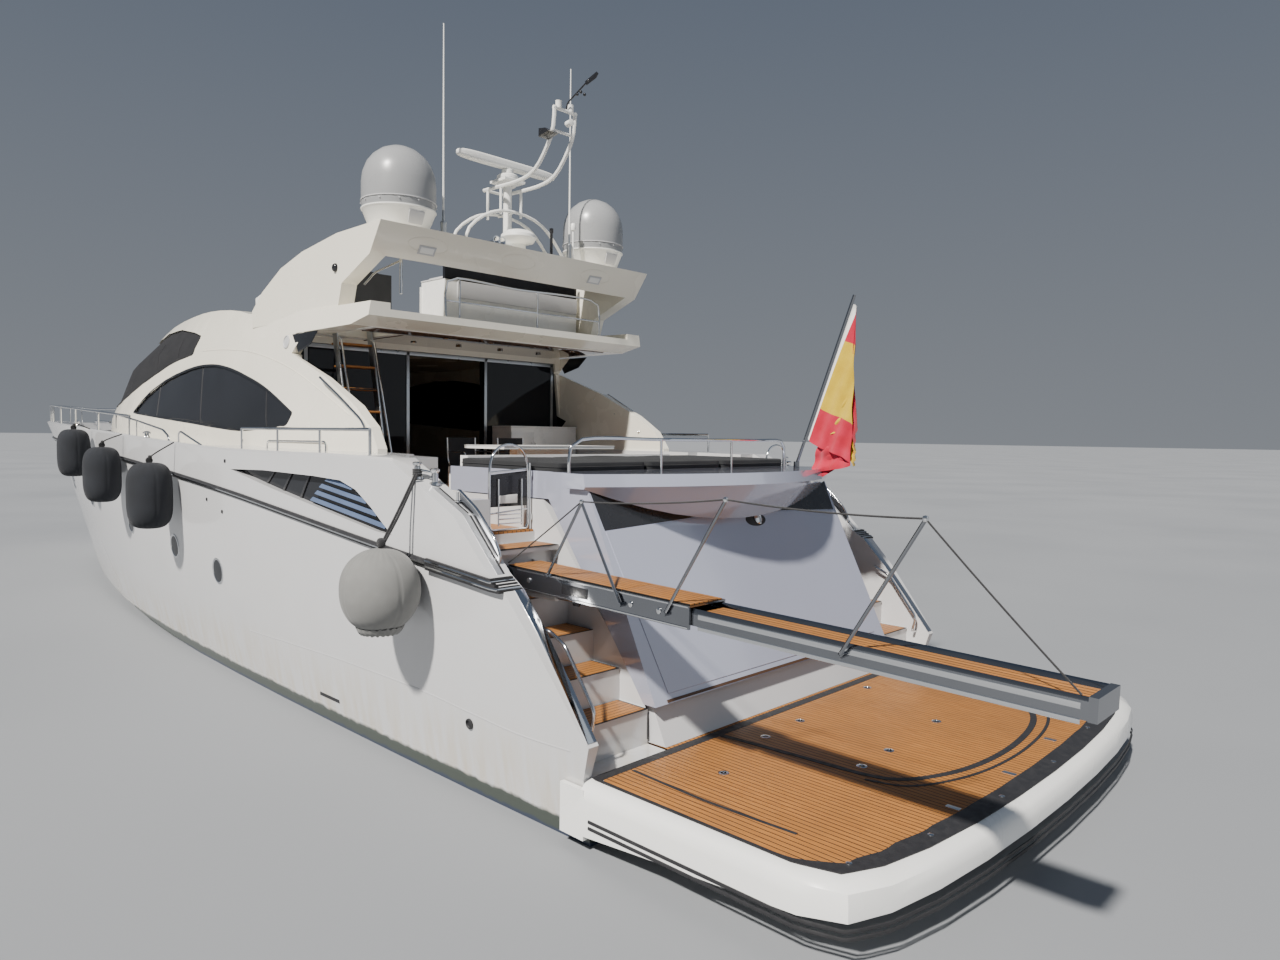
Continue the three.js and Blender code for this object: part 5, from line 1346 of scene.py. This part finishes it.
lamps = [turned(mast_lamp, (-6.94, y, 6.893), sides=20) for y in (-0.17, 0.02)]
lamps.append(turned(mast_lamp, (-6.98, -0.08, 6.72), (-1, 0, 0.1), 20))
piece("mast_lamps", together(*lamps), white_plastic)
whip_feet = [turned([(0, 0), (0.06, 0), (0.06, 0.015), (0.036, 0.03), (0.034, 0.20), (0.038, 0.21),
                     (0.038, 0.26), (0.016, 0.27), (0.015, 0.40), (0, 0.402)], (x, y, ARCH_TOP), sides=20)
             for x, y in ((-5.90, 0.93), (-6.10, -0.90))]
piece("aerial_feet", together(*whip_feet), satin_steel)

# %% [markdown]
# ### Courtesy lights
#
# Two square lights and two faint round covers lie on the sloping aft face of the arch.
# Two rays give that face's slope, and each fitting is drawn flat and laid on it.

# %% Set the lights into the arch
def laid_on_arch(shape, places):
    """Copies of a shape drawn with x across, y up and z outwards, laid on the arch's aft face.

    Two rays from astern, one above the other, give the slope there. A point is the foot of
    the first, plus its x, y and z times the directions across, up the slope and outwards.
    """
    copies = []
    for y, z in places:
        here, over = (touch("radar_arch", (-8, y, z + rise), (1, 0, 0)) for rise in (0, 0.06))
        upward = unit(over - here)
        out = unit(np.cross(upward, (0, 1.0, 0)))
        axes = np.array([(0, 1.0, 0), upward, out if out[0] < 0 else -out])
        copies.append(outward(here + shape[0] @ axes, shape[1]))
    return together(*copies)


LIGHT_SPOTS = [(1.40, 5.09), (-1.17, 5.11)]
COVER_SPOTS = [(1.40, 5.14), (0.12, 5.15), (-1.17, 5.15)]
light_frame = block((-0.11, 0.11), (-0.055, 0.055), (-0.004, 0.007), 0.003)
light_lens = block((-0.085, 0.085), (-0.035, 0.035), (0.004, 0.010), 0.002)
cover_ring = band(oval(0.26, 0.10, 48), oval(0.25, 0.09, 48), -0.002, 0.003)
piece("arch_light_frames", laid_on_arch(light_frame, LIGHT_SPOTS), grey_moulding_and_shade)
piece("arch_covers", laid_on_arch(cover_ring, COVER_SPOTS), cream_gelcoat)
piece("arch_light_lenses", laid_on_arch(light_lens, LIGHT_SPOTS), white_plastic)

# %% [markdown]
# ## Hull trim
#
# Along the topsides run the rub rail with its steel line, the knuckle low down aft, marked
# by a grey strip of painted shade along its crease, and a double chrome moulding round each
# quarter. The rub rail's own outermost corners give the course of the steel line.

# %% Run the lines along the topsides
rail_points = np.unique(np.array([v.co[:] for v in nodes["rub_rail_port"].data.vertices]).round(4), axis=0)
rail_line = []
for station in np.unique(rail_points[:, 0].round(2)):
    section_here = rail_points[np.abs(rail_points[:, 0] - station) < 0.02]
    if len(section_here) >= 5:
        rail_line.append(section_here[section_here[:, 1].argmax()])
rail_line = np.array(rail_line)
steel_section = [(-0.009, -0.012), (0.009, -0.012), (0.006, 0.0025), (-0.006, 0.0025)]
steel_line = sweep(curve_through(rail_line, 120), steel_section, (0, 1, 0))
piece("rub_rail_inlay", both_sides(steel_line), stainless)
print("rub rail stations", len(rail_line), "from x", rail_line[0][0].round(2), "to",
      rail_line[-1][0].round(2))

KNUCKLE = [(-4.68, 0.68), (-6.67, 0.75), (-8.24, 0.76), (-9.07, 0.72), (-9.71, 0.69), (-10.30, 0.71)]
# A grey strip a little darker than the hull: painted shade along the knuckle's crease.
knuckle_shade_strip = side_line("hull_stern", KNUCKLE, 0.006, 0.003, 60)
piece("hull_knuckle", both_sides(knuckle_shade_strip), grey_moulding_and_shade)


def quarter_line(lift, section):
    """A moulding on the rub rail's course that turns inboard round the wing's raked end."""
    face_x = touch("hull_stern", (-12, 2.70, rail_line[0][2] + lift), (1, 0, 0))[0]
    x = np.linspace(-8.62, face_x + 0.03, 16)
    y, z = (np.interp(x, rail_line[:, 0], rail_line[:, axis]) for axis in (1, 2))
    run = np.stack([x, y, z + lift], 1)
    corner = run[-1] + (face_x - x[-1], 0, 0)
    return sweep(bent_path([*run, corner, (face_x, 2.625, corner[2])], 0.03), section, (0, 0, 1))


cap = [quarter_line(lift, [(-0.02, -0.012), (-0.02, 0.012), (0.003, 0.011), (0.003, -0.011)])
       for lift in (-0.038, -0.019, 0.0, 0.019, 0.038)]
piece("quarter_band", both_sides(*cap), black_rubber)
chrome = [quarter_line(lift, [(-0.02, -0.011), (-0.02, 0.011), (0.007, 0.009), (0.011, 0), (0.007, -0.009)])
          for lift in (0.026, -0.022)]
piece("quarter_chrome", both_sides(*chrome), stainless)

wall_seam = tube(in_space([(-9.745, 1.585), (-10.215, 0.80), (-10.225, 0.56)], 1.801), 0.008)
piece("stair_wall_seams", both_sides(wall_seam), black_rubber)

RAKE = np.array([(-9.50, 1.862), (-9.63, 1.80), (-9.91, 1.51), (-10.20, 1.16), (-10.48, 0.805)])
RAKE_PROUD = 0.006
rake_way = unit(np.gradient(RAKE, axis=0))
rake_out = np.stack([rake_way[:, 1], -rake_way[:, 0]], 1) * RAKE_PROUD
rake_outline = np.concatenate([RAKE + rake_out, (RAKE - rake_out)[::-1]])
piece("rake_strips", both_sides(slab(rake_outline, 2.615, 2.705, 0.0015, "xz")), stainless)

# %% [markdown]
# ### Quarter windows
#
# Each long recess aft holds dark glass forward, divided by three raked bars, and four
# pale louvres aft. A louvre is a long thin blade tilted outwards; the recess's upper and
# lower edges, which are lists of points, say how long each one is.

# %% Fill the quarter recesses
QUARTER_TOP = [(-4.45, 2.57), (-5.36, 2.59), (-6.56, 2.575), (-7.09, 2.555), (-7.39, 2.48), (-7.67, 2.335),
               (-8.04, 2.105)]
QUARTER_FOOT = [(-4.45, 2.57), (-4.89, 2.50), (-5.62, 2.395), (-6.28, 2.31), (-7.755, 2.12), (-8.04, 2.105)]


def height_on(edge_points, x):
    """The height of an edge, given by (x, z) points, at one or more x."""
    xs, zs = zip(*sorted(edge_points))
    return np.interp(x, xs, zs)


PANE_FACE, BAR_HALF, BAR_RAKE = 2.8065, 0.022, 0.20
bars = []
for foot_x in (-5.30, -5.72, -6.14):
    top_x = foot_x - BAR_RAKE
    foot_z, top_z = height_on(QUARTER_FOOT, foot_x), height_on(QUARTER_TOP, top_x)
    bars.append(slab([(foot_x + BAR_HALF, foot_z), (foot_x - BAR_HALF, foot_z), (top_x - BAR_HALF, top_z),
                      (top_x + BAR_HALF, top_z)], PANE_FACE, PANE_FACE + 0.012, 0.002, "xz"))
piece("quarter_bars", both_sides(*bars), black_paint_and_shade)

BLADE = [(-0.016, -0.016), (0.013, 0.012), (0.015, 0.018), (0.010, 0.018), (-0.020, -0.010)]
LOUVRES, LOUVRE_FOOT, LOUVRE_RISE = 4, 0.045, 0.083
louvres = []
foot_line = np.array([(-6.50, height_on(QUARTER_FOOT, -6.50)), (-7.93, 2.118)])
slope = (foot_line[1, 1] - foot_line[0, 1]) / (foot_line[1, 0] - foot_line[0, 0])
for step in range(LOUVRES):
    xs = np.linspace(-6.42 - 0.10 * step, -8.0, 200)
    zs = foot_line[0, 1] + (xs - foot_line[0, 0]) * slope + LOUVRE_FOOT + LOUVRE_RISE * step
    inside = np.flatnonzero(zs < height_on(QUARTER_TOP, xs) - 0.02)
    ends = [(xs[i], PANE_FACE + 0.022, zs[i]) for i in inside[[0, -1]]]
    louvres.append(sweep(np.linspace(*ends, 6), BLADE, (0, 1, 0)))
piece("quarter_louvres", both_sides(*louvres), louvre_paint)
print(len(louvres), "louvres")

# %% [markdown]
# ### Portlights, outlets and studs
#
# These are small turned fittings pointing outwards: a steel ring round dark glass for each
# portlight, and black buttons and outlets along the side.

# %% Set the portlights and outlets
RING = [(0.11, -0.02), (0.165, -0.02), (0.163, 0.007), (0.152, 0.011), (0.140, 0.008), (0.134, 0.002),
        (0.11, 0.002)]
GLASS = [(0, -0.02), (0.137, -0.02), (0.137, 0.004), (0, 0.0055)]
OUTLET = [(0, -0.004), (0.045, -0.004), (0.045, 0.014), (0.034, 0.018), (0.028, 0.004), (0, 0.003)]
STUD = [(0, -0.004), (0.022, -0.004), (0.021, 0.008), (0.012, 0.012), (0, 0.012)]
PORTLIGHTS = [(-2.40, 1.46), (-3.92, 1.30), (-0.40, 1.62), (2.20, 1.85), (4.30, 2.02)]
STUD_SPOTS = [(-3.71, 2.17), (-4.29, 2.66), (-4.19, 2.05), (1.9, 2.2), (4.8, 2.35)]
BULKHEAD_X = -4.25


def on_hull(places, profile, sides=24):
    """The same turned fitting at several (x, z) places on the port side, on the hull or its stern."""
    return [side_button("hull_stern" if x < BULKHEAD_X else "hull", x, z, profile, sides) for x, z in places]


piece("portlight_rings", both_sides(*on_hull(PORTLIGHTS, RING, 36)), stainless)
piece("portlight_panes", both_sides(*on_hull(PORTLIGHTS, GLASS, 36)), smoked_glass)
slot_line = side_line("hull_stern", [(-6.34, 0.28), (-6.76, 0.28)], 0.022, 0.003, 6)
outlets = [*on_hull([(-9.07, 0.62)], OUTLET), *on_hull(STUD_SPOTS, STUD), slot_line]
piece("hull_outlets", both_sides(*outlets), black_rubber)

# %% [markdown]
# ## Side decks and foredeck
#
# Hand rails on the bulwark, cleats, a windlass and a hatch finish the deck. A cleat is a
# bent bar on two feet.

# %% Set the deck gear
forward_rail = tube([(1.35, 2.75, 3.31), (0.47, 2.755, 3.25), (-0.55, 2.76, 3.15), (-1.72, 2.77, 3.02),
                     (-1.98, 2.78, 2.93), (-2.02, 2.785, 2.82)], 0.014)
rail_feet = [tube([(x, 2.765, z), (x, 2.765, z - 0.22)], 0.011) for x, z in ((0.47, 3.25), (-0.55, 3.15))]
fairlead = tube(in_space([(-2.45, 2.72), (-2.45, 2.97), (-2.52, 3.0), (-3.40, 2.80), (-3.46, 2.74)], 2.80),
                0.013)
fly_post = together(tube(in_space([(-6.085, 4.60), (-6.085, 5.00)], 1.61), 0.016),
                    tube(in_space([(-6.085, 4.975), (-5.50, 4.913), (-5.25, 4.80)], 1.61), 0.012))
piece("fly_post", fly_post, stainless)
piece("bulwark_rails", both_sides(forward_rail, *rail_feet, fairlead), stainless)


def cleat(x, y, z):
    """A bar bent down at both ends, on two turned feet."""
    bar = tube([(x + reach, y, z + rise) for reach, rise in
                [(-0.15, 0.062), (-0.075, 0.078), (0.075, 0.078), (0.15, 0.062)]], 0.013)
    feet = [turned([(0, 0), (0.03, 0), (0.016, 0.02), (0.014, 0.075), (0, 0.078)], (x + step, y, z), sides=16)
            for step in (-0.05, 0.05)]
    return together(bar, *feet)


edges = on_side("hull", [(x, 2.75) for x in (-1.2, 3.2, 9.6)])
cleats = [cleat(*top_at("hull", x, y - 0.07)) for x, y, z in edges]
piece("deck_cleats", both_sides(*cleats), stainless)

fore_z = top_at("hull", 10.5, 0)[2]
drum = turned([(0, 0), (0.14, 0), (0.14, 0.03), (0.09, 0.05), (0.075, 0.13), (0.10, 0.17), (0.10, 0.19),
               (0.05, 0.21), (0, 0.212)], (10.55, 0.0, fore_z), sides=32)
gypsy = turned([(0, -0.05), (0.09, -0.05), (0.07, 0), (0.09, 0.05), (0, 0.05)], (10.55, 0.16, fore_z + 0.10),
               (0, 1, 0), 28)
chain_plate = block((10.75, 11.4), (-0.05, 0.05), (fore_z, fore_z + 0.014), 0.004)
piece("windlass", together(drum, gypsy, chain_plate), stainless)

HATCH_X = 9.55
hatch_z = top_at("hull", HATCH_X, 0)[2]
for name, half, low, high, edge, material in [("frames", 0.28, -0.03, 0.045, 0.012, satin_steel),
                                              ("lids", 0.24, 0.02, 0.058, 0.010, smoked_glass)]:
    shape = block((HATCH_X - half, HATCH_X + half), (-half, half), (hatch_z + low, hatch_z + high), edge)
    piece(f"foredeck_hatch_{name}", shape, material)

# %% [markdown]
# ## Fenders
#
# A cylinder fender in a fleece sock is a turned profile whose radius swells and shrinks a
# little round its seams, with the cloth gathered at both ends. The ball fender does the
# same on a sphere, with a ruffled hem below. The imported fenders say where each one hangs.

# %% Hang the fenders
END_GAP = 0.04


def sock(centre, radius, half_height, squareness, seams, pleats, rows=54, columns=120):
    """A closed body of revolution in cloth.

    The profile is a superellipse of the given squareness. The radius takes a shallow groove
    at each seam, a ripple of pleats that grows towards both ends, and a slow dent or two.
    """
    lat = np.linspace(-np.pi / 2 + END_GAP, np.pi / 2 - END_GAP, rows)[:, None]
    lon = around(columns)[None, :]
    across = np.cos(lat) ** squareness
    height = bent(np.sin(lat), squareness)
    groove = 0.022 * np.exp(-((np.sin(lon * seams / 2)) / 0.06) ** 2)
    gather = 0.035 * np.abs(np.sin(lat)) ** 6 * np.sin(lon * pleats)
    dent = 0.012 * np.sin(2 * lon + 1.3) * np.cos(3 * lat) + 0.008 * np.sin(5 * lon + 4 * lat)
    swell = radius * across * (1 - groove + gather + dent)
    ring = np.stack(np.broadcast_arrays(swell * np.cos(lon), swell * np.sin(lon), half_height * height), -1)
    return closed_rings(np.asarray(centre) + ring)


def rope(points, radius, steps):
    """A smooth rope that runs fore-and-aft level through the points."""
    return sweep(curve_through(points, steps), circle(radius, 8), (1, 0, 0))


SNUG = 0.985
EYE = [(0.02, -0.012), (0.04, -0.012), (0.045, 0), (0.04, 0.012), (0.02, 0.012)]
for number, (height, half_height) in enumerate([(2.625, 0.39), (2.345, 0.415), (2.165, 0.435)], 1):
    name = f"fender_{number}"
    low, high = (np.array(corner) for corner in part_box(name))
    radius = (high[0] - low[0]) / 2
    centre = np.array([(low[0] + high[0]) / 2, high[1] - radius, height])
    body = sock(centre, radius * SNUG, half_height * SNUG, 0.58, 2, 18)
    piece(f"{name}_sock", body, fender_sock, smooth_angle=60, replaces=[name])
    top = centre + (0, 0, half_height)
    fender_rope = rope([top + (0, 0, -0.02), top + (0, -0.03, 0.08), (centre[0], low[1] + 0.01, high[2])],
                       0.009, 16)
    eye = turned(EYE, top + (0, 0, 0.02), (1, 0, 0), 20)
    knot = pillow(top + (0, -0.01, 0.06), (0.024, 0.024, 0.03), 0.8, 10, 16)
    piece(f"{name}_rope", together(fender_rope, eye, knot), rope_cloth)
    print(name, "radius", radius.round(3), "height", (high[2] - low[2]).round(2))

BALL = np.array([-8.40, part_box("ball_fender")[1][1] - 0.335, 1.70])
ball = sock(BALL, 0.333, 0.352, 0.93, 4, 26)
hem = turned([(0.10, -0.365), (0.16, -0.362), (0.185, -0.335), (0.20, -0.30), (0.17, -0.29)], BALL, sides=60)
ruffle_points = hem[0].copy()
ruffle_angle = np.arctan2(*(ruffle_points - BALL)[:, 1::-1].T)
ruffle_points[:, 2] += 0.008 * np.sin(ruffle_angle * 22)
ball_piece = piece("ball_fender_sock", together(ball, (ruffle_points, hem[1])), pale_sock,
                   smooth_angle=60, replaces=["ball_fender"])
bollard_foot = np.array([-8.40, 2.80, 2.64])
ball_top = BALL + (0, 0, 0.345)
halfway = ball_top * 0.5 + bollard_foot * 0.5 + (0, 0.012, -0.01)
ropes = [rope([ball_top + (x, 0, 0), halfway + (x * 1.4, 0, 0), bollard_foot + (x, 0.02, 0.03)], 0.011, 18)
         for x in (-0.012, 0.02)]
turns = [turned([(0.028, z), (0.040, z), (0.043, z + 0.009), (0.040, z + 0.018), (0.028, z + 0.018)],
                bollard_feet[0] + (0, 0, 0.02), sides=24) for z in (0.0, 0.02, 0.04)]
ball_knot = pillow(ball_top + (0, -0.01, 0.05), (0.036, 0.036, 0.045), 0.8, 12, 20)
piece("ball_fender_rope", together(*ropes, *turns, ball_knot), rope_cloth)

# %% [markdown]
# ## The ensign
#
# The flag hangs from its leaning staff in still air. A point on the cloth is given by how
# far down the hoist it lies and how far along its thread. Each thread leaves the staff
# aft and downwards, turns back at the plumb line below the staff's head, and turns once
# more. The lengths of the passes add up to the fly, so the cloth isn't stretched.

# %% Hang the flag
STAFF_FOOT, STAFF_HEAD = np.array([-9.48, -1.35, 2.695]), np.array([-10.16, -1.35, 4.54])
HOIST, FLY = 1.52, 1.30
HEADING = 0.045
FIRST_SLOPE = math.radians(28)
staff_way = unit(STAFF_HEAD - STAFF_FOOT)


def flag_cloth(rows=96, columns=60):
    """Points of the hanging cloth, rows along the fly and columns down the hoist.

    The reach of a thread is its distance from the plumb line. Its first pass runs that far
    at a set slope. The rest of its length is shared by two passes: what they don't use
    sideways they use downwards. A cosine turns each pass into the next, and every pass
    lies a little further to starboard than the one before.
    """
    down = np.linspace(0, 1, columns)[None, :]
    length = np.linspace(0, FLY, rows)[:, None]
    reach = 0.015 + 0.505 * down
    first = reach / math.cos(FIRST_SLOPE)
    rest = FLY - first
    share = np.minimum(1, 0.97 * rest / (2 * reach))
    passes = np.where(length < first, length / first, 1 + 2 * share * (length - first) / rest)
    sideways = reach * (1 - np.cos(np.pi * passes)) / 2
    later_fall = np.sqrt(np.maximum(rest ** 2 - (2 * share * reach) ** 2, 0))
    fall = np.where(length < first, length * math.sin(FIRST_SLOPE),
                    first * math.sin(FIRST_SLOPE) + later_fall * (length - first) / rest)
    layer = -0.030 * (passes + np.sin(2 * np.pi * passes) / (2 * np.pi))
    growth = np.clip(length / 0.25, 0, 1)
    ripple = 0.014 * growth * np.sin(2 * np.pi * (sideways / 0.17 + 0.3 * down) + 3 * fall)
    pleats = 0.020 * np.clip(length - first, 0, 0.3) / 0.3 * np.sin(2 * np.pi * (8 * down + 0.4 * length))
    hoist = STAFF_HEAD - staff_way * (0.09 + HOIST * down[0][:, None]) + (-0.022, 0, -0.012)
    offset = np.stack([-sideways, layer + ripple + pleats, -fall], -1)
    return hoist[None] + offset


flag_finish, tree = finish("flag cloth", (0.55, 0.02, 0.06), 0.75, sheen=0.35, specular=0.2)
cloth_place = node(tree, "ShaderNodeUVMap", uv_map="cloth").outputs["UV"]
where_on_flag = node(tree, "ShaderNodeSeparateXYZ", {"Vector": cloth_place})
from_middle = sums(tree, "ABSOLUTE", sums(tree, "SUBTRACT", where_on_flag.outputs["Y"], 0.5))
stripe = spread(tree, from_middle, 0.249, 0.251)
faded = spread(tree, noise(tree, 6.0), 0.35, 0.7)
red = mixed(tree, faded, (0.40, 0.006, 0.026), (0.50, 0.016, 0.052))
yellow = mixed(tree, faded, (0.50, 0.33, 0.010), (0.58, 0.41, 0.024))
striped = mixed(tree, stripe, yellow, red)
heading = spread(tree, where_on_flag.outputs["X"], HEADING, HEADING + 0.003)
feed(tree, "Base Color", mixed(tree, heading, (0.80, 0.78, 0.74), striped))
feed(tree, "Roughness", spread(tree, noise(tree, 9.0), 0.3, 0.7, 0.68, 0.85))
roughen(tree, noise(tree, 700.0), 0.15)

flag_points = flag_cloth()
flag_rows, flag_columns = flag_points.shape[:2]
flag = piece("ensign_cloth", (flag_points.reshape(-1, 3), grid_faces(flag_rows, flag_columns)), flag_finish,
             "garage_door", smooth_angle=180, replaces=["ensign"])
flag_uv = flag.data.uv_layers.new(name="cloth")
corner = np.empty(len(flag.data.loops), int)
flag.data.loops.foreach_get("vertex_index", corner)
flag_place = np.stack([corner // flag_columns / (flag_rows - 1) * FLY,
                       corner % flag_columns / (flag_columns - 1)], 1)
flag_uv.data.foreach_set("uv", flag_place.ravel().astype(np.float32))
print("flag box", flag_points.reshape(-1, 3).min(0).round(2), flag_points.reshape(-1, 3).max(0).round(2))

# %% [markdown]
# ## Floor and light
#
# The boat floats, so the pale studio floor lies at her waterline. One large warm light
# stands high to port, so that soft shadows fall to starboard, and a wide cool one fills
# from astern. The sky is a plain gradient for the steel and glass to mirror.

# %% Build the studio
FLOOR_REACH = 600.0
floor_mesh = bpy.data.meshes.new("floor")
floor_corners = [(x * FLOOR_REACH, y * FLOOR_REACH, 0) for x, y in [(-1, -1), (1, -1), (1, 1), (-1, 1)]]
floor_mesh.from_pydata(floor_corners, [], [[0, 1, 2, 3]])
floor_mesh.materials.append(mottled("floor paint", (0.24, 0.25, 0.265), 0.6, 0.012, 0.15))
in_scene("floor", floor_mesh)


def sun(name, direction, strength, softness, colour):
    """A sun whose light travels along the direction; softness is its angle across, in degrees."""
    data = bpy.data.lights.new(name, "SUN")
    data.energy, data.angle, data.color = strength, math.radians(softness), colour
    lamp = in_scene(name, data)
    lamp.rotation_mode = "QUATERNION"
    lamp.rotation_quaternion = Vector(direction).to_track_quat("-Z", "Y")


sun("key light", (0.15, -0.66, -0.72), 8.6, 3.0, (1.0, 0.96, 0.90))
sun("fill light", (0.80, 0.35, -0.45), 0.35, 60.0, (0.90, 0.95, 1.0))

world = bpy.data.worlds.new("studio")
bpy.context.scene.world = world
world.use_nodes = True
sky = world.node_tree
direction = sky.nodes.new("ShaderNodeTexCoord").outputs["Generated"]
climb = node(sky, "ShaderNodeSeparateXYZ", {"Vector": direction}).outputs["Z"]
whole = mixed(sky, spread(sky, climb, 0.0, 0.6), (0.80, 0.86, 0.95), (0.32, 0.42, 0.60))
sky.links.new(whole, sky.nodes["Background"].inputs["Color"])
sky.nodes["Background"].inputs["Strength"].default_value = 0.28
